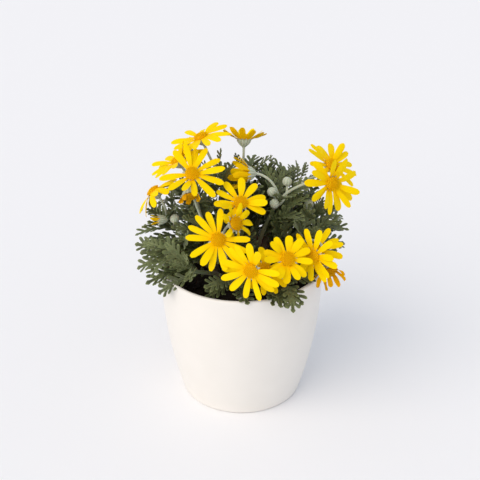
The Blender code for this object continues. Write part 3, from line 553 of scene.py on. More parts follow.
def soil_bed():
    """One closed body: a lumpy top that lies level at its edge, and a plain underside."""
    bottom = NURSERY_BOTTOM + NURSERY_WALL + GAP
    edge = nursery_radius(SOIL_TOP) - NURSERY_WALL - 2 * GAP
    foot = nursery_radius(bottom) - NURSERY_WALL - 2 * GAP
    bearings = np.linspace(0, tau, SOIL_SPOKES, endpoint=False)
    rings = []
    for radius in np.linspace(1.0 * MM, edge, SOIL_RINGS):
        x, y = radius * np.cos(bearings), radius * np.sin(bearings)
        fade = 1 - (radius / edge) ** SOIL_EDGE_POWER
        rings.append(circle(radius, SOIL_TOP + (soil_height(x, y) - SOIL_TOP) * fade, bearings))
    pile = Pile()
    pile.add_loft(np.stack(rings + [circle(foot, bottom, bearings)]), np.zeros(4))
    return pile.make("potting_soil_bed", peat)


def ball(centre, radius, subdivisions):
    """Points and faces of a ball of triangles."""
    bm = bmesh.new()
    bmesh.ops.create_icosphere(bm, subdivisions=subdivisions, radius=radius,
                               matrix=Matrix.Translation(centre))
    points = [tuple(vertex.co) for vertex in bm.verts]
    faces = [[vertex.index for vertex in face.verts] for face in bm.faces]
    bm.free()
    return points, faces


def scatter(name, count, sizes, finish, draw):
    """Broken lumps: small balls of few faces, each squashed and dented by chance."""
    unit, faces = ball((0, 0, 0), 1.0, 1)
    unit = np.array(unit)
    points, polygons = [], []
    reach = nursery_radius(SOIL_TOP) - NURSERY_WALL - 3 * MM
    for lump in range(count):
        radius = reach * sqrt(draw.random())
        bearing = draw.uniform(0, tau)
        x, y = radius * cos(bearing), radius * sin(bearing)
        size = draw.uniform(*sizes)
        stretch = np.array([draw.uniform(*spread) for spread in LUMP_STRETCHES])
        dents = np.array([draw.uniform(*LUMP_DENTS) for _ in unit])[:, None]
        turn = Matrix.Rotation(draw.uniform(0, tau), 3, "Z")
        shape = (unit * dents * stretch * size) @ np.array(turn).T
        polygons += [[corner + lump * len(unit) for corner in face] for face in faces]
        points.append(shape + np.array([x, y, float(soil_height(x, y)) + size * LUMP_RISE]))
    mesh = bpy.data.meshes.new(name)
    mesh.from_pydata(np.concatenate(points).tolist(), [], polygons)
    mesh.materials.append(finish)
    return add_object(name, mesh)


soil_draw = random.Random(SOIL_SEED)
soil_pieces = (
    soil_bed(),
    scatter("soil_crumbs", CRUMBS, CRUMB_SIZES, peat, soil_draw),
    scatter("soil_perlite", CRUMBS // PERLITE_EVERY, CRUMB_SIZES, perlite, soil_draw),
)
for piece in soil_pieces:
    dress(piece, "peat", "potting_soil")
print("soil:", [triangles(piece) for piece in soil_pieces], "triangles")

# %% [markdown]
# ## The plant's plan
#
# These are the construction's own tables: where each stem's tip is, where each head sits and
# which way it faces, and how each petal lies. The construction gave every petal, leaf and stalk
# a few tries to find room between its neighbours. This scene doesn't repeat that search. It
# looks at the finished solid instead: the try whose tip is found among the solid's corners is the
# one that was used.

# %% Stems, heads and buds
STEMS = {
    1: (-59, -25, 146), 2: (-62, 10, 155), 3: (-47, 32, 170), 4: (-18, 12, 194),
    5: (1, 36, 188), 6: (25, 36, 180), 7: (50, 42, 178), 8: (66, 16, 158), 9: (34, 5, 182),
    10: (-42, -42, 138), 11: (37, -46, 132), 12: (-6, -47, 132), 13: (-29, -14, 158),
    14: (52, -14, 150), 15: (-38, 58, 146), 16: (18, 64, 148), 17: (54, 56, 140),
}

# Each head: its stem, the middle of its petal ring, the compass bearing and the height that it
# faces in degrees (bearing 0 is -Y, 90 is +X), how far its petals reach in millimetres, how far
# they curl in degrees, and each petal's clock angle and rise from the ring's plane in degrees
HEAD_FIELDS = ("stem", "at", "faces", "reach", "curl", "petals")
HEADS = {
    "k": (12, (7, -72, 153), (-22, 8), 25, 16, (
        (-174, -2), (-157, 5), (-131, 2), (-99, -4), (-67, 2), (-44, -8), (-21, -2), (8, 6),
        (64, 24), (90, 20), (118, 14), (144, -4), (166, 8))),
    "l": (11, (36, -62, 158), (9, 39), 20, 14, (
        (114, 0), (134, 6), (157, -3), (180, 4), (-147, 0), (-123, 5), (-99, 0), (-73, 4),
        (-48, -2), (-12, 4), (20, -3), (50, 4), (78, -2))),
    "m": (11, (18, -54, 144), (32, 50), 22, 18, (
        (0, -4), (-30, 0), (-58, 2), (-88, 0), (-118, -4), (-150, 0), (140, -8), (105, -8),
        (68, -8), (34, -6))),
    "n": (14, (57, -50, 154), (-39, 8), 23, 18, (
        (16, 4), (-4, -3), (-30, 4), (-51, -2), (-72, -12), (-94, -8), (-124, 0), (-156, 4),
        (174, 0), (144, 0), (114, 0), (82, -5), (48, -2))),
    "i": (12, (-5, -40, 178), (48, 33), 18, 35, (
        (16, 4), (-15, 0), (-46, -8), (-92, -34), (-160, 10), (50, 10), (100, 20), (140, 16))),
    "j": (12, (-19, -52, 170), (6, 40), 26, 14, (
        (174, 0), (152, -8), (130, 4), (106, -12), (80, -3), (24, -14), (-3, 4),
        (-27, 0), (-53, 7), (-80, 4), (-106, 2), (-125, 9), (-150, 0))),
    "o": (14, (71, -39, 134), (15, -30), 16, -20, (
        (-110, 40), (-76, 28), (-42, 36), (-5, 44), (40, 40), (85, 30), (130, 38), (175, 44),
        (-145, 36))),
    "r": (8, (62, -30, 149), (-20, 50), 22, 12, (
        (76, -2), (50, -6), (26, -2), (-4, -4), (-42, -8), (-76, 0), (-108, 0), (-140, 0),
        (174, 0))),
    "g": (13, (-1, -22, 188), (5, 45), 22, 16, (
        (151, 0), (123, 2), (83, 0), (50, -4), (16, -8), (-5, 2), (-24, -6), (-95, 12),
        (-128, 10), (-157, 12), (-178, 4))),
    "f": (13, (-42, -20, 194), (15, -45), 10, -40, (
        (-150, 30), (-92, 38), (-35, 30), (22, 38), (80, 30), (140, 36))),
    "d": (13, (-40, -14, 210), (0, 50), 27, 14, (
        (-171, 0), (-136, 17), (-103, 32), (-82, 28), (-47, -5), (-16, -6), (6, 0), (34, -6),
        (66, -3), (84, -6), (102, 4), (126, -2))),
    "p": (9, (74, -8, 199), (27, 9), 26, 18, (
        (126, -6), (144, 2), (168, -4), (-160, 14), (-136, 24), (-108, 14), (-76, -4), (-60, 6),
        (-43, -2), (-28, 4), (8, -8), (40, -14), (72, 28), (100, 26))),
    "e": (2, (-73, 0, 188), (-113, 42), 22, 30, (
        (-84, -12), (-62, -16), (-42, -22), (14, -30), (36, -28), (62, -28), (90, -18),
        (118, -16), (146, -16), (175, -14), (-150, -14), (-118, -14))),
    "h": (9, (5, 6, 202), (-80, 4), 18, -16, (
        (88, 30), (124, 40), (160, 46), (-164, 44), (-130, 48), (-96, 46), (-60, 56), (-22, 62),
        (16, 62), (54, 52))),
    "a": (4, (-34, 24, 227), (-100, 68), 26, 20, (
        (-170, -3), (-138, 9), (-114, 5), (-79, 10), (-52, 4), (-25, 0), (0, -2), (27, -5),
        (53, -8), (78, -8), (102, -17), (129, -4), (156, 3))),
    "c": (3, (-53, 12, 211), (-104, 55), 25, 24, (
        (-137, 10), (-112, 4), (-94, 12), (-68, 5), (-42, 0), (-14, 0), (13, 0), (42, 6),
        (75, 5), (105, 0), (135, 0), (165, 5), (-164, 8))),
    "q": (7, (75, 14, 206), (50, 52), 25, 16, (
        (68, -6), (46, 0), (26, 4), (6, 0), (-16, -4), (-46, 0), (-78, 0), (-110, 0), (-140, 0),
        (-170, 0), (158, 4), (126, 8), (96, -2))),
    "b": (5, (2, 34, 222), (175, 72), 20, -8, (
        (-175, 14), (-142, 20), (-109, 24), (-76, 22), (-43, 28), (-10, 24), (23, 28), (56, 24),
        (89, 30), (122, 24), (155, 18))),
    "s": (3, (-47, 30, 211), (-84, 14), 15, -30, (
        (0, 10), (45, 6), (90, 14), (135, 4), (180, 10), (-135, 18), (-90, 10), (-45, 6))),
}
HEADS = {letter: dict(zip(HEAD_FIELDS, values)) for letter, values in HEADS.items()}
# How far each head is past its best: 0 is fresh and 1 is wilted
WEAR = {"i": 0.5, "f": 1.0, "o": 0.8, "s": 1.0}
# How far, in degrees, the petals of heads seen edge-on have turned about their own length
ROLL = {"a": 26, "c": 30, "e": 18, "b": -20}

# Closed woolly buds: their stem and place
BUDS = (
    (2, (-56, -6, 166)), (2, (-51, -13, 160)), (9, (38, 8, 194)), (9, (25, 0, 188)),
    (9, (27, -6, 180)), (7, (50, 27, 182)), (8, (57, 10, 172)), (16, (10, 60, 168)),
    (15, (-40, 50, 168)),
)
# The opening bud at the left, whose five petals are still folded together
OPENING_BUD = dict(stem=2, at=(-69, -6, 165), faces=(-77, 1), reach=8, curl=22,
                   petals=[(clock, 62) for clock in range(-179, 180, 72)])

# Leaves whose tips show at the bush's edge: their tips' places on each stem
AIMED_LEAVES = {
    1: ((-88, -20, 126), (-85, -20, 141)), 2: ((-89, 0, 176), (-80, 0, 160)),
    4: ((-6, 20, 220), (-26, 20, 210)), 5: ((11, 20, 201),), 6: ((25, 20, 206),),
    7: ((62, 20, 194),), 8: ((91, 0, 152), (85, 0, 160)), 9: ((45, 20, 215),),
    10: ((-69, -40, 113),), 11: ((24, -74, 122), (35, -74, 120), (49, -66, 118)),
    12: ((5, -74, 123),), 14: ((88, 0, 139),),
}
print(len(STEMS), "stems,", len(HEADS), "heads,", len(BUDS), "closed buds")

# %% Rules shared with the construction
STEM_FAN = 0.33
STEM_DEPTH = 14.0 * MM
STEM_FOOT_RADIUS = 2.2 * MM
STEM_TIP_RADIUS = 1.4 * MM
STEM_LEAN = 14.0
STEM_LEAN_PER_MM = 0.55
STEM_FOOT_HANDLE = 0.40
STEM_TIP_HANDLE = 0.35
HEADING_STEP = 0.01
STALK_RADIUS = 1.1 * MM
STALK_FROM = 0.92
STALK_LOWER = 0.035
STALK_END_IN_CUP = 0.7
STALK_START_HANDLE = 0.35
STALK_END_HANDLE = 0.40
CUP_HEIGHT = 6.2 * MM
RING_RADIUS = 6.2 * MM
RING_THICKNESS = 0.9 * MM
STALK_TRIES = [(0, 0)] + [(step * MM, turn) for step in (5, 10, 15) for turn in range(0, 360, 45)]


def stem_foot(number):
    """Where a stem leaves the soil: part of the way out below its tip."""
    x, y, _ = STEMS[number]
    return Vector((x * STEM_FAN * MM, y * STEM_FAN * MM, SOIL_TOP))


def bezier(start, start_handle, end_handle, end, share):
    """Point at a share of a cubic curve with two handles."""
    rest = 1 - share
    return (start * rest ** 3 + start_handle * 3 * rest ** 2 * share
            + end_handle * 3 * rest * share ** 2 + end * share ** 3)


def stem_point(number, share):
    """Point on a stem's middle line at a share of its way from the soil to the tip."""
    foot = stem_foot(number)
    tip = Vector(STEMS[number]) * MM
    span = (tip - foot).length
    out = Vector((tip.x, tip.y, 0))
    lean = radians(STEM_LEAN + STEM_LEAN_PER_MM * out.length / MM)
    heading = out.normalized() * sin(lean) + Vector((0, 0, cos(lean)))
    rising = foot + Vector((0, 0, span * STEM_FOOT_HANDLE))
    return bezier(foot, rising, tip - heading * span * STEM_TIP_HANDLE, tip, share)


def stem_heading(number, share):
    """The way a stem grows at a share of its way."""
    ahead = stem_point(number, min(share + HEADING_STEP, 1))
    return (ahead - stem_point(number, share - HEADING_STEP)).normalized()


def squared(direction, axis):
    """The part of a direction that is square to an axis, at unit length."""
    return (direction - axis * direction.dot(axis)).normalized()


def swung(heading, across, bearing):
    """A direction across a heading, swung round it by a bearing."""
    return across * cos(bearing) + heading.cross(across) * sin(bearing)


def head_matrix(at, faces):
    """Frame of a head: X to its right, Y up its face, Z the way it faces."""
    bearing, height = (radians(angle) for angle in faces)
    ahead = Vector((sin(bearing) * cos(height), -cos(bearing) * cos(height), sin(height)))
    upward = squared(Vector((0, 0, 1)), ahead)
    turn = Matrix((upward.cross(ahead), upward, ahead)).transposed().to_4x4()
    return Matrix.Translation(Vector(at) * MM) @ turn


def corners_of(node):
    """Search tree of a solid's corners."""
    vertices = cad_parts[node].data.vertices
    tree = KDTree(len(vertices))
    for vertex in vertices:
        tree.insert(vertex.co, vertex.index)
    tree.balance()
    return tree


def arc(length, start, bend, share):
    """Distance along and up, and slope, at shares of an arc that turns by bend."""
    share = np.asarray(share, float)
    turn = bend * share
    if abs(bend) < 0.001:
        return length * share * cos(start), length * share * sin(start), start + turn
    radius = length / bend
    return (radius * (np.sin(start + turn) - sin(start)),
            radius * (cos(start) - np.cos(start + turn)), start + turn)


def moved(points, matrix):
    """Points of any array shape through a 4 by 4 matrix."""
    turn = np.array(matrix)
    return points @ turn[:3, :3].T + turn[:3, 3]


print("longest stem:", round(max((stem_point(number, 1) - stem_foot(number)).length
                                 for number in STEMS) / MM), "mm")

# %% [markdown]
# ## Ray petals
#
# A ray petal is a strap about 6 mm wide that starts narrow under the disc, is widest past its
# middle and ends blunt, often with a small notch. Three low ridges run along it. It is only 0.2
# or 0.3 mm thick, and light passes through, which is why yellow petals glow. Each petal here is
# bent on the same arc as its solid, with its own slight sway, twist and ruffle, so that no two
# are alike. Old heads have narrow, twisted, brown petals.

# %% Petal finishes
VEIN_STRETCH = (22, 1.5, 40)


def petal_finish(name, fresh, deep, shaded_underside, blotch):
    """Fresh colour, deeper colour at the root, the underside's colour painted darker as shade,
    colour of old spots.
    """
    made, tree, shader = new_finish(name, Roughness=0.55, IOR=1.42, Specular_IOR_Level=0.06,
                                    Subsurface_Weight=0.15, Subsurface_Scale=0.5 * MM)
    shader.inputs["Subsurface Radius"].default_value = (1.0, 0.9, 0.2)
    along, across, underside_shade, tone = read_marks(tree)
    vein_place = add_node(tree, "ShaderNodeCombineXYZ", links={"X": across, "Y": along, "Z": tone})
    stretched = add_node(tree, "ShaderNodeVectorMath", {1: VEIN_STRETCH},
                         {0: vein_place.outputs["Vector"]}, operation="MULTIPLY")
    veins = add_node(tree, "ShaderNodeTexNoise", {"Scale": 1.0, "Detail": 3.0},
                     {"Vector": stretched.outputs["Vector"]}).outputs["Fac"]
    base = mix(tree, ranged(tree, along, 0.02, 0.42), deep, fresh)
    veined = mix(tree, ranged(tree, veins, 0.45, 0.75, 0.45), base, deep)
    toned = mix(tree, ranged(tree, tone, 0.55, 1.0, 0.35), veined, blotch)
    # Painted shade: each petal's underside is painted darker than its top.
    paint(tree, shader, mix(tree, underside_shade, toned, shaded_underside))
    add_bump(tree, shader, veins, 0.5, 0.12)
    return made


fresh_petal = petal_finish("fresh_yellow_petal", "#FFDA00", "#FFCA00", "#F7C200", "#FFD000")
wilted_petal = petal_finish("wilted_petal", "#F2B600", "#DC9A00", "#D89A02", "#C88404")
print("finishes:", fresh_petal.name, wilted_petal.name)

# %% Petal shape
PETAL_WIDTH = 6.0 * MM
PETAL_ROOT_WIDTH = 2.9 * MM
PETAL_WIDEST = 0.62
PETAL_TIP_WIDTH = 3.4 * MM
PETAL_TIP_NARROWING = 0.26
PETAL_ROUNDING = 0.13
PETAL_ROUNDING_POWER = 2.6
PETAL_THICKNESS = 0.30 * MM
PETAL_EDGE_THICKNESS = 0.10 * MM
PETAL_UNDER_DISC = 1.6 * MM
PETAL_ROWS = np.array((0, 0.08, 0.18, 0.3, 0.42, 0.54, 0.66, 0.77, 0.86, 0.93, 0.975, 1.0))
PETAL_COLUMNS = np.linspace(-1, 1, 9)
PETAL_ROLLED_FROM = 0.35
PETAL_NOTCH = 0.035
PETAL_WIDTH_SPREAD = (0.84, 1.08)
PETAL_SWAY = 0.035
PETAL_BOW = 0.10
PETAL_BOW_SPREAD = (-0.5, 1.0)
PETAL_TWIST = 9
PETAL_RUFFLE = (0.1 * MM, 0.3 * MM)
PETAL_RUFFLE_WAVES = 7
PETAL_RUFFLE_SLANT = 2
PETAL_RIDGES = 3
PETAL_RIDGE = 0.07 * MM
PETAL_RIDGE_GROWTH = 4
WILTED_NARROWING = 0.3
WILTED_SWAY = 2
WILTED_BOW = 0.55
WILTED_RUFFLE = 2.5
WILTED_TWIST = 5
WILTED_FROM = 0.6
PETAL_THINNING = 0.8
PETAL_TRIES = [(rise, reach) for reach in (1.0, 0.85, 0.72)
               for rise in (0, 7, -7, 14, -14, 22, -22, 30)]
MATCH = 0.05 * MM


def petal_setting(petal, head, ring_radius, attempt):
    """Clock angle, length, slope at the root and bend of one petal."""
    clock, rise = petal
    rise_more, shorter = PETAL_TRIES[attempt]
    rise = radians(rise + rise_more)
    reach = head["reach"] * MM * shorter
    tip = Vector((reach * cos(rise) - ring_radius, reach * sin(rise)))
    bend = -radians(head["curl"])
    length = tip.length * (bend / 2) / sin(bend / 2)
    return radians(clock), length, atan2(tip.y, tip.x) - bend / 2, bend


def petal_points(setting, ring_radius, share, out, height):
    """Points of a petal in its head's frame, for arrays of shares, offsets and heights."""
    clock, length, start, bend = setting
    along, up, slope = arc(length, start, bend, share)
    outward = np.array((cos(clock), sin(clock), 0))
    across = np.array((-sin(clock), cos(clock), 0))
    upward = np.array((0, 0, 1))
    forward = (ring_radius + along - height * np.sin(slope))[..., None] * outward
    return forward + (up + height * np.cos(slope))[..., None] * upward + out[..., None] * across


def petal_used(node_corners, matrix, petal, head, ring_radius, tip_width):
    """The setting whose tip corners are found on the solid, or None."""
    half, thick = tip_width / 2, RING_THICKNESS / 2 * PETAL_THINNING
    out, height = np.array((-half, half, half, -half)), np.array((-thick, -thick, thick, thick))
    for attempt in range(len(PETAL_TRIES)):
        setting = petal_setting(petal, head, ring_radius, attempt)
        tips = moved(petal_points(setting, ring_radius, np.ones(4), out, height), matrix)
        if all(node_corners.find(tip)[2] < MATCH for tip in tips):
            return setting
    return None


def closed(upper, lower):
    """Rows of the upper side, then back along the lower side without its two edges."""
    return np.concatenate([upper, lower[:, -2:0:-1]], axis=1)


def petal_skin(setting, ring_radius, width, wear, roll, draw):
    """Rings and marks of one fine petal; wear runs from 0, fresh, to 1, wilted."""
    length = setting[1]
    rows, columns = PETAL_ROWS[:, None], PETAL_COLUMNS[None, :]
    notch = draw.uniform(0, PETAL_NOTCH) * (0.5 + 0.5 * np.cos(2 * pi * columns))
    ends = 1 - PETAL_ROUNDING * np.abs(columns) ** PETAL_ROUNDING_POWER - notch
    hidden = PETAL_UNDER_DISC / length
    share = -hidden + rows * (ends + hidden)
    opening = np.clip(share / PETAL_WIDEST, 0, 1)
    closing = np.clip((share - PETAL_WIDEST) / (1 - PETAL_WIDEST), 0, 1)
    root = PETAL_ROOT_WIDTH / PETAL_WIDTH
    half = width / 2 * (root + (1 - root) * np.sin(opening * pi / 2))
    half = half * (1 - PETAL_TIP_NARROWING * closing ** 2) * draw.uniform(*PETAL_WIDTH_SPREAD)
    half = half * (1 - WILTED_NARROWING * wear)
    sway = draw.uniform(-PETAL_SWAY, PETAL_SWAY) * (1 + WILTED_SWAY * wear) * length
    bow = draw.uniform(*PETAL_BOW_SPREAD) * PETAL_BOW + WILTED_BOW * wear * draw.uniform(-1, 1)
    ruffle = draw.uniform(*PETAL_RUFFLE) * (1 + WILTED_RUFFLE * wear)
    phase = draw.uniform(0, tau)
    turn = radians(draw.uniform(-PETAL_TWIST, PETAL_TWIST) * (1 + WILTED_TWIST * wear))
    twist = turn * np.clip(share, 0, 1) + roll * np.clip(share / PETAL_ROLLED_FROM, 0, 1)
    ridges = np.cos(PETAL_RIDGES * pi * columns) * np.clip(share * PETAL_RIDGE_GROWTH, 0, 1)
    lift = bow * half * (1 - columns ** 2) + PETAL_RIDGE * ridges
    waves = np.sin(PETAL_RUFFLE_WAVES * share + phase + PETAL_RUFFLE_SLANT * columns)
    lift = lift + ruffle * waves * np.abs(columns) * opening
    thick = PETAL_EDGE_THICKNESS + (PETAL_THICKNESS - PETAL_EDGE_THICKNESS) * (1 - columns ** 2)
    skins = []
    for side in (1, -1):
        out = columns * half
        height = lift + side * thick / 2
        turned_out = out * np.cos(twist) - height * np.sin(twist) + sway * share ** 2
        turned_height = out * np.sin(twist) + height * np.cos(twist)
        skins.append(petal_points(setting, ring_radius, share, turned_out, turned_height))
    across = np.broadcast_to(columns / 2 + 0.5, share.shape)
    # The third mark is 1 on the underside, which the finish paints darker as shade.
    marks = marked(closed(share, share), closed(across, across),
                   closed(np.zeros_like(share), np.ones_like(share)), draw.random())
    return closed(*skins), marks


def dress_petals(name, node, head, ring_radius, widths, wear=0.0, roll=0.0):
    """All the petals of one head as one piece; roll turns each one's face to the front."""
    matrix = head_matrix(head["at"], head["faces"])
    forward = (CAMERA_PLACE - matrix.translation).normalized()
    draw = random.Random("petals " + node)
    corners = corners_of(node)
    pile = Pile()
    found = 0
    for petal in head["petals"]:
        setting = petal_used(corners, matrix, petal, head, ring_radius, widths[1])
        if setting is None:
            print("petal not found on its solid:", node, petal)
            continue
        across = matrix.to_3x3() @ Vector((-sin(setting[0]), cos(setting[0]), 0))
        own_roll = -roll * across.dot(forward)
        rings, marks = petal_skin(setting, ring_radius, widths[0], wear, own_roll, draw)
        pile.add_loft(moved(rings, matrix), marks)
        found += 1
    piece = pile.make(name, wilted_petal if wear > WILTED_FROM else fresh_petal)
    dress(piece, "yellow_petals", node)
    return found


petal_count = 0
for letter, head in HEADS.items():
    petal_count += dress_petals(
        f"petals_{letter}", f"head_{letter}_petals", head, RING_RADIUS,
        (PETAL_WIDTH, PETAL_TIP_WIDTH), WEAR.get(letter, 0.0), radians(ROLL.get(letter, 0)))
print(petal_count, "petals")

# %% The opening bud's folded petals
OPENING_BUD_RING_RADIUS = 2.6 * MM
OPENING_BUD_WIDTHS = (2.6 * MM, 1.2 * MM)

found = dress_petals("petals_opening_bud", "opening_bud_petals", OPENING_BUD,
                     OPENING_BUD_RING_RADIUS, OPENING_BUD_WIDTHS)
print(found, "folded petals on the opening bud")

# %% [markdown]
# ## Disc florets
#
# The middle of a daisy is a dome of tiny flowers set in two crossing families of spirals, each
# next one turned by the golden angle. The outer ones are open, five-pointed stars on short tubes,
# and the inner ones are still closed beads. They are drawn about as large as real ones, near
# 0.9 mm across, in orange that deepens toward the open ones.

# %% Floret finish
florets_finish, tree, shader = new_finish("orange_florets", Roughness=0.6, IOR=1.42,
                                          Specular_IOR_Level=0.08, Subsurface_Weight=0.15,
                                          Subsurface_Scale=0.4 * MM)
shader.inputs["Subsurface Radius"].default_value = (1.0, 0.6, 0.1)
up_floret, age, _, tone = read_marks(tree)
height_tint = mix(tree, up_floret, "#DBA000", "#FFD800")
paint(tree, shader, mix(tree, tone, mix(tree, age, height_tint, "#B87A06"), "#F2BA00"))
print("finish:", florets_finish.name)

# %% Floret shape
DOME_RADIUS = 5.8 * MM
DOME_HEIGHT = 3.0 * MM
DOME_POWER = 2.4
FLORETS = 96
OPEN_FROM = 0.62
GOLDEN_ANGLE = pi * (3 - sqrt(5))
FLORET_RADIUS = 0.44 * MM
FLORET_HEIGHT = 1.05 * MM
# Rows of a floret: how far up, how wide and how far every second point is drawn in
OPEN_FLORET = ((-0.5, 0.45, 0.0), (0.6, 0.5, 0.0), (0.95, 1.25, 0.5), (0.82, 0.3, 0.0))
CLOSED_FLORET = ((-0.5, 0.7, 0.0), (0.15, 0.98, 0.0), (0.55, 0.8, 0.0), (0.78, 0.3, 0.0))
CORE_SIDES = 28
CORE_ROWS = 8
CORE_SHARE = 0.9
CORE_EDGE = 0.97
CORE_MIDDLE = 0.4 * MM
CORE_SUNK = 0.5 * MM
CORE_TONE = 0.4
FLORET_EDGE = 0.95
FLORET_SIZES = (0.9, 1.12)
FLORET_TONES = (0, 0.5)
FLORET_AGEING = 0.6


def dome_height(radius):
    """Height of the disc's dome, which is flat in its middle and steep at its edge."""
    return DOME_HEIGHT * (1 - (radius / DOME_RADIUS) ** DOME_POWER)


def add_floret(pile, matrix, base, normal, is_open, age, draw):
    """One small tube that stands on the dome, open to a star or closed to a bead."""
    side = np.cross(normal, (0.2, 0.9, 0.3))
    side = side / np.linalg.norm(side)
    other = np.cross(normal, side)
    tone = draw.uniform(*FLORET_TONES)
    size = draw.uniform(*FLORET_SIZES)
    rows, sides = (OPEN_FLORET, 10) if is_open else (CLOSED_FLORET, 6)
    rings, marks = [], []
    for up, wide, star in rows:
        centre = base + normal * (up * FLORET_HEIGHT * size)
        rings.append(ring_points(centre, side, other, wide * FLORET_RADIUS * size, sides, star))
        marks.append(np.tile((max(up, 0.0), age, 0, tone), (sides, 1)))
    pile.add_loft(moved(np.stack(rings), matrix), np.stack(marks))


def dress_florets(letter, head):
    """The disc of one head: a plain core with its florets set on it in spirals."""
    draw = random.Random("florets " + letter)
    matrix = head_matrix(head["at"], head["faces"])
    lift = RING_THICKNESS / 2 + GAP
    age = FLORET_AGEING * WEAR.get(letter, 0.0)
    pile = Pile()
    bearings = bearings_round(CORE_SIDES)
    rings = [circle(radius, lift + dome_height(radius) * CORE_SHARE, bearings)
             for radius in np.linspace(DOME_RADIUS * CORE_EDGE, CORE_MIDDLE, CORE_ROWS)]
    rings.insert(0, rings[0] * (1, 1, 0) + (0, 0, lift - CORE_SUNK))
    pile.add_loft(moved(np.stack(rings), matrix), np.array((0.0, age, 0, CORE_TONE)))
    for count in range(FLORETS):
        share = sqrt((count + 0.5) / FLORETS)
        radius, bearing = DOME_RADIUS * FLORET_EDGE * share, count * GOLDEN_ANGLE
        slope = DOME_HEIGHT * DOME_POWER * (radius / DOME_RADIUS) ** (DOME_POWER - 1) / DOME_RADIUS
        outward = np.array((cos(bearing), sin(bearing), 0))
        normal = outward * slope + np.array((0, 0, 1))
        normal = normal / np.linalg.norm(normal)
        base = outward * radius + np.array((0, 0, lift + dome_height(radius) * CORE_SHARE))
        add_floret(pile, matrix, base, normal, share > OPEN_FROM, age, draw)
    piece = pile.make(f"florets_{letter}", florets_finish)
    dress(piece, "orange_florets", f"head_{letter}_florets")
    return triangles(piece)


print("florets:", sum(dress_florets(letter, head) for letter, head in HEADS.items()), "triangles")

# %% [markdown]
# ## Woolly stalks, cups and buds
#
# The green parts near the flowers are covered with short white wool, so they look pale grey-green
# and soft, with a bright rim where the light grazes the hairs. The wool is far too fine to model,
# so sheen stands in for it, with a bump half a millimetre across. Under each head a cup of
# thirteen narrow scales holds the petals, and each scale's tip shows as a tooth.

# %% Wool finish
wool, tree, shader = new_finish("white_wool_on_green", Roughness=0.85, IOR=1.4, Sheen_Weight=0.6,
                                Sheen_Roughness=0.45, Subsurface_Weight=0.08,
                                Subsurface_Scale=0.8 * MM)
shader.inputs["Sheen Tint"].default_value = linear("#EEF0E4")
_, groove, _, _ = read_marks(tree)
tufts = noise(tree, object_place(tree), 0.5, Detail=4.0, Roughness=0.7)
woolly = mix(tree, ranged(tree, tufts, 0.35, 0.65), "#A9B297", "#E2E5D6")
paint(tree, shader, mix(tree, groove, woolly, "#A3AD90"))
add_bump(tree, shader, tufts, 0.7, 0.25)
print("finish:", wool.name)

# %% Stalks, cups and buds
CUP_RADIUS = 6.0 * MM
CUP_NECK_RADIUS = 1.6 * MM
CUP_SCALES = 13
CUP_TOOTH = 2.3 * MM
CUP_TOOTH_SIZES = (0.85, 1.1)
CUP_TOOTH_POWER = 1.5
CUP_AROUND = CUP_SCALES * 6
BUD_RADIUS = 3.9 * MM
BUD_RIBS = 8
OPENING_BUD_CUP_RADIUS = 4.0 * MM
STALK_ROWS = 22
STALK_SIDES = 10
STALK_CHECKS = (0.25, 1 / 3, 0.5, 2 / 3, 0.75)
STALK_TAPER = (1.15, 0.25)
STALK_SWELLS_FROM = 0.85
CUP_ROWS = 8
CUP_ROUNDING_POWER = 0.9
CUP_RIB = 0.045
CUP_EDGE = (0.2 * MM, 0.3 * MM)
CUP_LIP = (0.7 * MM, 0.35 * MM)
CUP_INSIDE_SHARE = 0.55
CUP_INSIDE_DEPTH = 1.0 * MM
BUD_ROWS = 12
BUD_TURNS = (0.12, pi - 0.14)
BUD_RIB = 0.04
BUD_RIB_TWIST = 0.25
BUD_GROOVE = 0.8
BUD_ROUNDING_POWER = 0.8
BUD_TIP = 0.92
OPENING_BUD_TEETH_RISE = radians(70)
STALK_SEED = 21


def tube_rings(points, radii, sides):
    """Rings of a tube whose cross-section is carried along without twisting."""
    points = np.array(points, float)
    ahead = np.gradient(points, axis=0)
    ahead = ahead / np.linalg.norm(ahead, axis=1)[:, None]
    side = np.cross(ahead[0], (0.31, 0.17, 0.93) if abs(ahead[0][2]) < 0.9 else (1, 0, 0))
    rings = []
    for place, heading, radius in zip(points, ahead, radii):
        side = side - heading * np.dot(side, heading)
        side = side / np.linalg.norm(side)
        rings.append(ring_points(place, side, np.cross(heading, side), radius, sides))
    return np.stack(rings)


def stalk_setting(number, order, end, heading, attempt):
    """Curve handles of a stalk from near its stem's tip to a head or bud."""
    step, turn = STALK_TRIES[attempt]
    share = STALK_FROM - STALK_LOWER * order
    start = stem_point(number, share)
    span = (end - start).length
    sway = swung(heading, heading.orthogonal().normalized(), radians(turn)) * step
    start_handle = start + stem_heading(number, share) * span * STALK_START_HANDLE + sway
    return start, start_handle, end - heading * span * STALK_END_HANDLE + sway, end


def stalk_used(corners, number, order, end, heading):
    """The handles of the stalk that lies nearest to its solid's corners."""
    def miss(setting):
        middles = (bezier(*setting, share) for share in STALK_CHECKS)
        return sum(abs(corners.find(middle)[2] - STALK_RADIUS) for middle in middles)
    settings = [stalk_setting(number, order, end, heading, attempt)
                for attempt in range(len(STALK_TRIES))]
    return min(settings, key=miss)


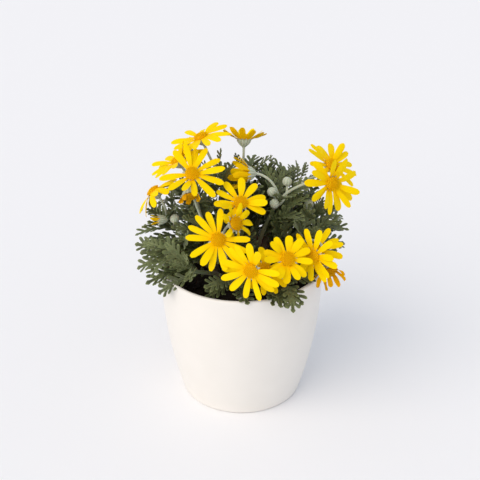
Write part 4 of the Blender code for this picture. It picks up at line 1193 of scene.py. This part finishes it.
def add_cup(pile, matrix, radius, petals_rise, draw):
    """A bowl of narrow scales; the teeth lie along the petals' backs."""
    bearings = bearings_round(CUP_AROUND)
    top = -RING_THICKNESS / 2 - GAP
    ribs = np.cos(CUP_SCALES * bearings)
    tooth = (0.5 + 0.5 * ribs) ** CUP_TOOTH_POWER * draw.uniform(*CUP_TOOTH_SIZES)
    rings = []
    for level in np.linspace(0, 1, CUP_ROWS):
        round_share = sin(level * pi / 2) ** CUP_ROUNDING_POWER
        reach = CUP_NECK_RADIUS + (radius - CUP_NECK_RADIUS) * round_share
        rings.append((reach * (1 + CUP_RIB * ribs * level), top - CUP_HEIGHT * (1 - level)))
    out, up = cos(petals_rise) * CUP_TOOTH, sin(petals_rise) * CUP_TOOTH
    edge, low = rings[-1]
    rings.append((edge + out * tooth, low + up * tooth))
    rings.append((edge + out * tooth - CUP_EDGE[0], low + up * tooth + CUP_EDGE[1]))
    rings.append((edge - CUP_LIP[0], low + CUP_LIP[1]))
    rings.append((edge * CUP_INSIDE_SHARE, low - CUP_INSIDE_DEPTH))
    skin = np.stack([circle(reach, level, bearings) for reach, level in rings])
    pile.add_loft(moved(skin, matrix), marked(0.0, 0.5 - 0.5 * ribs, 0.0, draw.random()))


def add_bud(pile, centre, heading, draw):
    """A round bud of overlapping scales, a little flat at its tip."""
    side = np.array(heading.orthogonal().normalized())
    ahead = np.array(heading)
    other = np.cross(ahead, side)
    sides = BUD_RIBS * 4
    bearings = bearings_round(sides)
    rings, marks = [], []
    for turn in np.linspace(*BUD_TURNS, BUD_ROWS):
        up = -cos(turn) * BUD_RADIUS * (BUD_TIP if turn > pi / 2 else 1.0)
        ribs = np.cos(BUD_RIBS * (bearings + BUD_RIB_TWIST * turn))
        reach = sin(turn) ** BUD_ROUNDING_POWER * BUD_RADIUS * (1 + BUD_RIB * ribs * sin(turn))
        rings.append(ring_points(np.array(centre) + ahead * up, side, other, reach, sides))
        marks.append(marked(0.0, (0.5 - 0.5 * ribs) * BUD_GROOVE, 0.0, draw.random()))
    pile.add_loft(np.stack(rings), np.stack(marks))


def add_stalk(pile, setting, end_radius):
    """A woolly stalk that widens or narrows into what it carries."""
    shares = np.linspace(0, 1, STALK_ROWS)
    points = [bezier(*setting, share) for share in shares]
    radii = STALK_RADIUS * (STALK_TAPER[0] - STALK_TAPER[1] * shares)
    swelling = np.clip((shares - STALK_SWELLS_FROM) / (1 - STALK_SWELLS_FROM), 0, 1) ** 2
    radii = radii + (end_radius - radii) * swelling
    greenness = 0.6 * (1 - shares)[:, None]
    pile.add_loft(tube_rings(points, radii, STALK_SIDES), marked(0.0, greenness, 0.0, 0.0))


def stalk_ends():
    """Every head and bud in the construction's order: stem, end, heading and what sits there."""
    ends = []
    back = RING_THICKNESS / 2 + GAP + CUP_HEIGHT * STALK_END_IN_CUP
    for letter, head in HEADS.items():
        matrix = head_matrix(head["at"], head["faces"])
        rise = sum(rise for _, rise in head["petals"]) / len(head["petals"])
        ends.append((head["stem"], matrix @ Vector((0, 0, -back)), matrix.col[2].xyz,
                     ("cup", matrix, CUP_RADIUS, radians(rise))))
    opening_matrix = head_matrix(OPENING_BUD["at"], OPENING_BUD["faces"])
    end = opening_matrix @ Vector((0, 0, -CUP_HEIGHT * STALK_END_IN_CUP))
    ends.append((OPENING_BUD["stem"], end, opening_matrix.col[2].xyz,
                 ("cup", opening_matrix, OPENING_BUD_CUP_RADIUS, OPENING_BUD_TEETH_RISE)))
    for number, place in BUDS:
        centre = Vector(place) * MM
        heading = (centre - stem_point(number, STALK_FROM)).normalized()
        ends.append((number, centre, heading, ("bud",)))
    return ends


def stem_node(number):
    return f"leafy_stem_{number:02d}"


stem_corners = {number: corners_of(stem_node(number)) for number in STEMS}
stalk_piles = {number: Pile() for number in STEMS}
orders = {number: 0 for number in STEMS}
stalk_draw = random.Random(STALK_SEED)
for number, end, heading, (kind, *details) in stalk_ends():
    pile = stalk_piles[number]
    setting = stalk_used(stem_corners[number], number, orders[number], end, heading)
    orders[number] += 1
    if kind == "cup":
        add_cup(pile, *details, stalk_draw)
        add_stalk(pile, setting, CUP_NECK_RADIUS)
    else:
        add_bud(pile, end, heading, stalk_draw)
        add_stalk(pile, setting, STALK_RADIUS)
for number, pile in stalk_piles.items():
    if pile.count:
        dress(pile.make(f"stalks_{number:02d}", wool), "felted_green", stem_node(number))
print("stalks on each stem:", orders)

# %% [markdown]
# ## Woody stems
#
# Low down a stem is brown and barky, and towards its tip it turns green and downy. It thins from
# 4.4 to 2.8 mm. Its colour goes by how far up the stem a point is, and a slight swelling at every
# fourth ring stands for its leaf scars.

# %% Stem finish
bark, tree, shader = new_finish("young_bark", Roughness=0.8, IOR=1.45, Sheen_Weight=0.2)
ripeness, _, _, _ = read_marks(tree)
rough_bark = noise(tree, object_place(tree), 1.3, Detail=6.0)
woody = mix(tree, rough_bark, "#4A3B28", "#8B7A58")
paint(tree, shader, mix(tree, ranged(tree, ripeness, 0.35, 0.8), woody, "#7C8A62"))
add_bump(tree, shader, rough_bark, 0.6, 0.3)

# %% Stem shape
STEM_ROWS = 26
STEM_SIDES = 12
SCAR_EVERY = 4
SCAR_SWELL = 1.12
STEM_TIP_SHARE = 0.6
STEM_ROOT_SHARE = 0.9


def dress_stem(number):
    """One stem from under the soil to its tip, with a swelling at each row of leaf scars."""
    shares = np.linspace(0, 1, STEM_ROWS)
    points = [stem_foot(number) - Vector((0, 0, STEM_DEPTH - GAP))]
    points += [stem_point(number, share) for share in shares]
    radii = STEM_FOOT_RADIUS + (STEM_TIP_RADIUS - STEM_FOOT_RADIUS) * shares
    radii[2::SCAR_EVERY] *= SCAR_SWELL
    radii[-1] *= STEM_TIP_SHARE
    radii = np.concatenate([[STEM_FOOT_RADIUS * STEM_ROOT_SHARE], radii])
    ripeness = np.concatenate([[0.0], shares])[:, None]
    pile = Pile()
    pile.add_loft(tube_rings(points, radii, STEM_SIDES), marked(ripeness, 0.0, 0.0, 0.0))
    piece = pile.make(f"stem_{number:02d}", bark)
    dress(piece, "felted_green", stem_node(number))
    return triangles(piece)


print("stems:", sum(dress_stem(number) for number in STEMS), "triangles")

# %% [markdown]
# ## Cut leaves
#
# Each leaf is cut about halfway to its rib into four or five pairs of blunt fingers that sweep
# forward, each about 4 mm wide and 8 to 10 mm long, and the whole leaf is about 45 mm. A grey
# felt covers it, thicker on young leaves, so these look silvery. Its colour also carries painted
# shade and highlight: darker greens low in the bush and on the undersides, and lighter edges and
# tips. A finger is a loft with a shallow channel on top, laid out flat on its leaf. The leaf is
# then bent along its arc and folded up along its rib, in the same way as its solid.

# %% Leaf finish
felt, tree, shader = new_finish("grey_felted_leaf", Roughness=0.42, IOR=1.42,
                                Specular_IOR_Level=0.42, Sheen_Weight=0.07,
                                Sheen_Roughness=0.4, Subsurface_Weight=0.05,
                                Subsurface_Scale=0.7 * MM)
shader.inputs["Sheen Tint"].default_value = linear("#DFE2CC")
place = object_place(tree)
edge_highlight_and_tip_felt, youth_and_depth_shade, underside_shade, tone = read_marks(tree)
# Young leaves high on a stem are silvery with new felt; the greens of the rest are darker than the
# leaf's own green, as painted shade for the depth of the bush, so the lower, older leaves read
# darkest.
silvery_and_shaded = mix(tree, youth_and_depth_shade, mix(tree, tone, "#141D09", "#3C4721"), "#737B54")
felt_patches = ranged(tree, noise(tree, place, 2.4, Detail=5.0, Roughness=0.65), 0.42, 0.72, 0.26)
patchy = mix(tree, felt_patches, silvery_and_shaded, "#838A60")
# Painted highlight: each finger is lighter along its edges and at its tip, where it is partly new
# felt; the channel between keeps the darker green as painted shade.
highlighted = mix(tree, ranged(tree, edge_highlight_and_tip_felt, 0.0, 1.0, 0.62), patchy, "#8F9A5E")
# Painted shade: the undersides of the leaves are painted a darker green.
paint(tree, shader, mix(tree, underside_shade, highlighted, "#5A6240"))
add_bump(tree, shader, noise(tree, place, 0.4, Detail=3.0), 0.5, 0.15)
print("finish:", felt.name)

# %% Rules for leaves, shared with the construction
LEAF_LONGEST = 56.0 * MM
LEAF_SHORTEST = 36.0 * MM
LEAF_THICKNESS = 0.8 * MM
LEAF_RIB_HALF = 1.4 * MM
LEAF_PAIRS = 4
LEAF_STALK_SHARE = 0.30
LEAF_END_LOBE_SHARE = 0.14
LEAF_LOBE_SHARE = 0.19
LEAF_LOBE_SWEEP = radians(44)
LEAF_LOBE_LEAST = 0.72
LEAF_LOBE_SWELL = 0.40
LEAF_LOBE_PHASE = 0.2
LEAF_FOLD = radians(14)
LEAF_OPENING_LOW = 62
LEAF_OPENING_HIGH = 32
LEAF_OPENING_SPREAD = 8
LEAF_BEND = -34
LEAF_BEND_SPREAD = 14
LEAF_LENGTH_SPREAD = 0.08
LEAF_AXIS_LIFT = 0.22
LEAF_FACE_BACK = 0.20
LIGHT_FROM = Vector((-0.15, -0.45, 0.70))
LEAF_PLACES = 9
LEAFY_FROM = 0.42
HEIGHT_STEP = 0.7548776662
BEARING_STEP = 0.5698402910
STEM_TURN_STEP = 0.377
BEARING_START = Vector((0.3, 1, 0.2))
AIMED_LEAF_SPAN = 40.0 * MM
AIMED_LEAF_HIGHEST = 0.98
AIMED_LEAF_STEPS = 24
RANDOM_SEED = 5
LEAF_TRIES = [
    (0, 0, 1.0), (-14, 0, 1.0), (14, 0, 1.0), (0, -14, 1.0), (0, 14, 1.0), (-28, 0, 1.0),
    (20, 20, 1.0), (20, -20, 1.0), (-20, 26, 0.9), (-20, -26, 0.9), (0, 0, 0.8), (0, 30, 0.8),
    (0, -30, 0.8), (28, 0, 0.8), (-40, 0, 0.8),
]


def leaf_setting(number, index, attempt, leafy_from=LEAFY_FROM):
    """Base, axis, upper side, length and bend of one leaf, and how high it sits."""
    draw = random.Random(f"leaf {RANDOM_SEED} {number} {index}")
    bend_more, turn_more, shorter = LEAF_TRIES[attempt]
    share = leafy_from + (1 - leafy_from) * ((index * HEIGHT_STEP) % 1)
    turns = (index * BEARING_STEP + number * STEM_TURN_STEP) % 1
    bearing = tau * turns + radians(turn_more)
    heading = stem_heading(number, share)
    radial = swung(heading, heading.cross(BEARING_START).normalized(), bearing)
    opening = LEAF_OPENING_LOW + (LEAF_OPENING_HIGH - LEAF_OPENING_LOW) * share
    opening = radians(opening + draw.uniform(-LEAF_OPENING_SPREAD, LEAF_OPENING_SPREAD))
    axis = heading * cos(opening) + radial * sin(opening)
    axis = (axis + Vector((0, 0, LEAF_AXIS_LIFT))).normalized()
    upper = squared(heading + LIGHT_FROM - radial * LEAF_FACE_BACK, axis)
    length = LEAF_LONGEST + (LEAF_SHORTEST - LEAF_LONGEST) * share
    length *= shorter * draw.uniform(1 - LEAF_LENGTH_SPREAD, 1 + LEAF_LENGTH_SPREAD)
    bend = LEAF_BEND + draw.uniform(-LEAF_BEND_SPREAD, LEAF_BEND_SPREAD) + bend_more
    return (stem_point(number, share), axis, upper, length, radians(bend)), share


def aimed_leaf_setting(number, tip, attempt):
    """As leaf_setting, for a leaf that ends at a given place."""
    bend_more, turn_more, shorter = LEAF_TRIES[attempt]
    tip = Vector(tip) * MM

    def misfit(share):
        return abs((tip - stem_point(number, share)).length - AIMED_LEAF_SPAN)

    share = min((LEAFY_FROM + (AIMED_LEAF_HIGHEST - LEAFY_FROM) * step / AIMED_LEAF_STEPS
                 for step in range(AIMED_LEAF_STEPS + 1)), key=misfit)
    base = stem_point(number, share)
    chord = (tip - base) * shorter
    ahead = chord.normalized()
    upper = squared(Matrix.Rotation(radians(turn_more), 3, ahead) @ (
        stem_heading(number, share) + LIGHT_FROM), ahead)
    bend = radians(LEAF_BEND + bend_more)
    half = Matrix.Rotation(-bend / 2, 3, ahead.cross(upper))
    length = chord.length * (bend / 2) / sin(bend / 2)
    return (base, half @ ahead, half @ upper, length, bend), share


def bent_leaf(flat, setting):
    """Flat points of any array shape, bent along the leaf's arc and folded along its rib."""
    base, axis, upper, length, bend = setting
    side = np.array(upper.cross(axis))
    axis, upper = np.array(axis), np.array(upper)
    along, up, slope = arc(length, 0, bend, flat[..., 0] / length)
    normal = np.cos(slope)[..., None] * upper - np.sin(slope)[..., None] * axis
    lift = np.abs(flat[..., 1]) * sin(LEAF_FOLD) + flat[..., 2]
    return (np.array(base) + along[..., None] * axis + up[..., None] * upper
            + (flat[..., 1] * cos(LEAF_FOLD))[..., None] * side + lift[..., None] * normal)


# %% Leaf templates
LEAF_MODEL_LENGTH = 50.0 * MM
LEAF_TEMPLATES = 10
FINGER_HALF = 1.7 * MM
FINGER_THICKNESS = 0.8 * MM
FINGER_ROWS = np.array((0, 0.22, 0.45, 0.66, 0.83, 0.94, 1.0))
FINGER_WIDTHS = np.array((1.0, 0.94, 1.0, 1.12, 1.0, 0.70, 0.25))
RIB_WIDTHS = np.array((0.62, 0.6, 1.5, 2.3, 2.4, 2.0, 1.3))
FINGER_SECTION = np.array(((-1, 0), (-0.6, 0.85), (0, 0.1), (0.6, 0.85), (1, 0), (0.55, -0.8),
                           (0, -1), (-0.55, -0.8)))
# The underside points of a finger's section, which the finish paints darker as shade
FINGER_SHADED_UNDERSIDE = np.array((0, 0, 0, 0, 0, 1, 1, 1))
# Painted highlight: how much lighter each point round a finger's section is painted, most at its
# two edges, and how much lighter each row is towards the tip, where it is partly new felt
FINGER_EDGE_HIGHLIGHT = np.array((0.6, 0.12, 0, 0.12, 0.6, 0, 0, 0))
TIP_FELT_AND_HIGHLIGHT = np.array((0, 0, 0, 0.1, 0.4, 0.9, 1))
TOOTH_SHARE = 0.25
TOOTH_FROM = 0.5
TOOTH_LENGTH = 0.40
TOOTH_TURN = radians(36)
TOOTH_WIDTH = 0.72
TEMPLATE_SEED = 31
FINGER_REACHES = (0.88, 1.12)
FINGER_HALVES = (0.92, 1.1)
FINGER_RISES = (-0.5 * MM, 1.3 * MM)
FINGER_CURVE = (0.42, 0.56)
FINGER_SWEEP_SPREAD = 6
FINGER_BEHIND = 1.6 * MM
FINGER_SHIFT = 0.7 * MM
LOWEST_PAIR = 0.40
LOWEST_HALF = 0.7
END_LOBE_BEHIND = 3 * MM
END_LOBE_SWAY = 0.6 * MM
END_LOBE_RISE = 0.3 * MM


def curve_at(start, control, end, share):
    """Point at a share of a curve with one handle."""
    return start * (1 - share) ** 2 + control * 2 * share * (1 - share) + end * share ** 2


def finger(start, control, end, half, rise, widths=FINGER_WIDTHS):
    """One blunt finger along a curve in the leaf's plane."""
    rows = FINGER_ROWS[:, None]
    path = curve_at(start, control, end, rows)
    heading = np.gradient(path, axis=0)
    heading = heading / np.linalg.norm(heading, axis=1)[:, None]
    across = np.stack([-heading[:, 1], heading[:, 0]], axis=1)
    wide = widths[:, None] * half * FINGER_SECTION[None, :, 0]
    thin = np.clip(widths[:, None], 0.4, 1)
    high = thin * FINGER_THICKNESS / 2 * FINGER_SECTION[None, :, 1] + rise * rows ** 2
    flat = path[:, None, :] + across[:, None, :] * wide[..., None]
    return np.concatenate([flat, high[..., None]], axis=2)


def tooth(start, control, end, half, side):
    """A short blunt tip that branches from a finger."""
    root = curve_at(start, control, end, TOOTH_FROM)
    ahead = (end - start) * TOOTH_LENGTH
    turn = TOOTH_TURN * side
    out = np.array((ahead[0] * cos(turn) - ahead[1] * sin(turn),
                    ahead[0] * sin(turn) + ahead[1] * cos(turn)))
    return finger(root, root + ahead * 0.35 + out * 0.2, root + out, half * TOOTH_WIDTH, 0)


def leaf_template(draw):
    """All fingers and the rib of one flat leaf at the model length."""
    length = LEAF_MODEL_LENGTH
    fingers = []
    lobed = 1 - LEAF_STALK_SHARE - LEAF_END_LOBE_SHARE
    for row in range(LEAF_PAIRS + 1):
        middle = LEAF_STALK_SHARE + lobed * (row - 0.5) / LEAF_PAIRS
        along_share = (row - LEAF_LOBE_PHASE) / (LEAF_PAIRS + 2 * LEAF_LOBE_PHASE)
        swell = LEAF_LOBE_LEAST + LEAF_LOBE_SWELL * sin(pi * along_share)
        lobe = length * LEAF_LOBE_SHARE * (swell if row else LOWEST_PAIR)
        for side in (1, -1):
            reach = lobe * draw.uniform(*FINGER_REACHES)
            sweep = LEAF_LOBE_SWEEP + radians(
                draw.uniform(-FINGER_SWEEP_SPREAD, FINGER_SWEEP_SPREAD))
            shift = draw.uniform(-FINGER_SHIFT, FINGER_SHIFT)
            start = np.array((length * middle - FINGER_BEHIND + shift, 0))
            end = np.array((length * middle + reach * cos(sweep),
                            (LEAF_RIB_HALF + reach * sin(sweep)) * side))
            curve = np.array((FINGER_CURVE[0], FINGER_CURVE[1] * side))
            control = start + curve * (reach + LEAF_RIB_HALF)
            half = FINGER_HALF * (draw.uniform(*FINGER_HALVES) if row else LOWEST_HALF)
            fingers.append(finger(start, control, end, half, draw.uniform(*FINGER_RISES)))
            if row and draw.random() < TOOTH_SHARE:
                fingers.append(tooth(start, control, end, half, side))
    top = length * (1 - LEAF_END_LOBE_SHARE)
    sway = draw.uniform(-END_LOBE_SWAY, END_LOBE_SWAY)
    start, end = np.array((top - END_LOBE_BEHIND, 0)), np.array((length, sway))
    fingers.append(finger(start, (start + end) / 2, end, FINGER_HALF * 1.1, END_LOBE_RISE))
    for side in (1, -1):
        fingers.append(tooth(start, (start + end) / 2, end, FINGER_HALF * 1.2, side))
    start, end = np.array((0.0, 0)), np.array((top, 0))
    fingers.append(finger(start, (start + end) / 2, end, LEAF_RIB_HALF, 0, RIB_WIDTHS))
    return fingers


template_draw = random.Random(TEMPLATE_SEED)
templates = [leaf_template(template_draw) for _ in range(LEAF_TEMPLATES)]
print("fingers and ribs of each leaf:", [len(template) for template in templates])

# %% [markdown]
# ## Growing all the leaves
#
# First every leaf of the construction is dressed in its place. Then more leaves follow the same
# spiral rule, from lower on the stem to its tip, and each keeps the first bend that touches no
# petal, disc, bud or pot and hides no flower from the camera. A tuft of short upright leaves
# closes each stem's tip.

# %% Obstacles and sight
SIGHT_DEPTH = 120 * MM
SIGHT_HITS = 2
BUD_SIGHT_RADIUS = 4.6 * MM
CROWN_MIDDLE = Vector((10, 20, 204)) * MM
CROWN_FALL = 4.2


def tree_with_box(points, faces):
    return BVHTree.FromPolygons(points, faces), np.min(points, axis=0), np.max(points, axis=0)


def solid_of(node):
    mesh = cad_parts[node].data
    points = [tuple(vertex.co) for vertex in mesh.vertices]
    return points, [list(polygon.vertices) for polygon in mesh.polygons]


flowers = [solid_of(name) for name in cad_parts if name.startswith(("head", "opening"))]
flowers += [ball(Vector(place) * MM, BUD_SIGHT_RADIUS, 2)
            for place in [place for _, place in BUDS] + [OPENING_BUD["at"]]]
pots = [solid_of(name) for name in ("cover_pot", "nursery_pot", "potting_soil")]
obstacles = [tree_with_box(*solid) for solid in flowers + pots]
flower_trees = [tree for tree, _, _ in obstacles[:len(flowers)]]


def is_clear(skins):
    """True where none of a leaf's fingers crosses a petal, disc, bud or pot."""
    points = np.concatenate([skin.reshape(-1, 3) for skin in skins])
    low, high = points.min(axis=0), points.max(axis=0)
    near = [tree for tree, other_low, other_high in obstacles
            if np.all(low <= other_high) and np.all(high >= other_low)]
    if not near:
        return True
    pile = Pile()
    for skin in skins:
        pile.add_loft(skin, np.zeros(4))
    own = BVHTree.FromPolygons(points.tolist(), pile.faces)
    return not any(own.overlap(tree) for tree in near)


def is_behind(skins):
    """True where a leaf doesn't stand between the camera and a flower."""
    hits = 0
    for skin in skins:
        end = Vector(skin[-1].mean(axis=0))
        away = (end - CAMERA_PLACE).normalized()
        hits += any(tree.ray_cast(end, away, SIGHT_DEPTH)[0] for tree in flower_trees)
    return hits < SIGHT_HITS


def is_under_crown(skins):
    """True where a leaf stays under the bush's rounded top."""
    for skin in skins:
        end = Vector(skin[-1].mean(axis=0)) - CROWN_MIDDLE
        if end.z > -CROWN_FALL * (end.x ** 2 + end.y ** 2):
            return False
    return True


print(len(obstacles), "obstacles,", len(flowers), "of them flowers and buds")

# %% Leaves
EXTRA_LEAVES = 9
EXTRA_MOST = 11
EXTRA_MOST_IN_FRONT = 3
FRONT_STEMS_BEFORE = -20
EXTRA_FROM = 0.24
TUFT_LEAVES = 3
TUFT_LENGTH = (18.0, 27.0)
TUFT_OPENING = (12, 40)
TUFT_BENDS = (-30, 4)
TUFT_SPACING = 0.012
TUFT_FACE = 0.4
TUFT_YOUTH = (0.5, 0.9)
# Leaves above this share of their stem are painted lighter as silvery new felt; those below stay
# dark as painted shade.
YOUTH_AND_SHADE_FROM = 0.5


def leaf_skins(setting, template):
    """A template scaled to its leaf's length and bent into place."""
    scale = setting[3] / LEAF_MODEL_LENGTH
    return [bent_leaf(skin * (scale, scale, 1), setting) for skin in template]


def add_leaf(pile, skins, youth_and_depth_shade, tone):
    """Put a leaf's fingers on the pile, marked to be painted lighter along their edges as
    highlight, and at their tips as highlight and new felt.
    """
    edge_highlight_and_tip_felt = np.maximum(FINGER_EDGE_HIGHLIGHT[None, :], TIP_FELT_AND_HIGHLIGHT[:, None])
    for skin in skins:
        pile.add_loft(skin, marked(edge_highlight_and_tip_felt, youth_and_depth_shade, FINGER_SHADED_UNDERSIDE, tone))


def is_on_solid(number, setting):
    """True where a leaf's end corners are found on its stem's solid."""
    ends = np.array(((setting[3], 0, -LEAF_THICKNESS / 2), (setting[3], 0, LEAF_THICKNESS / 2)))
    return all(stem_corners[number].find(end)[2] < MATCH for end in bent_leaf(ends, setting))


def tuft_setting(number, index, draw):
    """A short upright leaf at a stem's tip."""
    share = 1 - TUFT_SPACING * index
    heading = stem_heading(number, share)
    radial = swung(heading, heading.cross(BEARING_START).normalized(),
                   GOLDEN_ANGLE * index + number)
    opening = radians(TUFT_OPENING[0] + (TUFT_OPENING[1] - TUFT_OPENING[0])
                           * (index + 0.5) / TUFT_LEAVES)
    axis = (heading * cos(opening) + radial * sin(opening)).normalized()
    upper = squared(-radial + heading * TUFT_FACE, axis)
    return (stem_point(number, share), axis, upper, draw.uniform(*TUFT_LENGTH) * MM,
            radians(draw.uniform(*TUFT_BENDS)))


def dress_leaves(number):
    """All the leaves of one stem: those of its solid, further ones, and a tuft at its tip."""
    draw = random.Random(f"dressing {number}")
    attempts = range(len(LEAF_TRIES))
    pile = Pile()
    grown = [0, 0, 0]
    plans = [[aimed_leaf_setting(number, tip, attempt) for attempt in attempts]
             for tip in AIMED_LEAVES.get(number, ())]
    plans += [[leaf_setting(number, index, attempt) for attempt in attempts]
              for index in range(1, LEAF_PLACES + 1)]
    left = []
    for plan in plans:
        found = [choice for choice in plan if is_on_solid(number, choice[0])]
        if not found:
            left.append(plan)
            continue
        setting, share = found[0]
        skins = leaf_skins(setting, draw.choice(templates))
        add_leaf(pile, skins, max(0.0, share - YOUTH_AND_SHADE_FROM), draw.random())
        grown[0] += 1
    left += [[leaf_setting(number, index, attempt, EXTRA_FROM) for attempt in attempts]
             for index in range(LEAF_PLACES + 1, LEAF_PLACES + 1 + EXTRA_LEAVES)]
    most = EXTRA_MOST_IN_FRONT if STEMS[number][1] < FRONT_STEMS_BEFORE else EXTRA_MOST
    for plan in left:
        if grown[1] == most:
            break
        template, tone = draw.choice(templates), draw.random()
        for setting, share in plan:
            skins = leaf_skins(setting, template)
            if is_under_crown(skins) and is_behind(skins) and is_clear(skins):
                add_leaf(pile, skins, max(0.0, share - YOUTH_AND_SHADE_FROM), tone)
                grown[1] += 1
                break
    for index in range(TUFT_LEAVES):
        template = draw.choice(templates)
        skins = leaf_skins(tuft_setting(number, index, draw), template)
        if is_behind(skins) and is_clear(skins):
            add_leaf(pile, skins, draw.uniform(*TUFT_YOUTH), draw.random())
            grown[2] += 1
    piece = pile.make(f"leaves_{number:02d}", felt)
    dress(piece, "felted_green", stem_node(number))
    return grown, triangles(piece)


leaf_counts = {number: dress_leaves(number) for number in STEMS}
print("leaves of the solids, further leaves and tuft leaves on each stem:")
print({number: grown for number, (grown, _) in leaf_counts.items()})
print("leaves:", sum(count for _, count in leaf_counts.values()), "triangles")
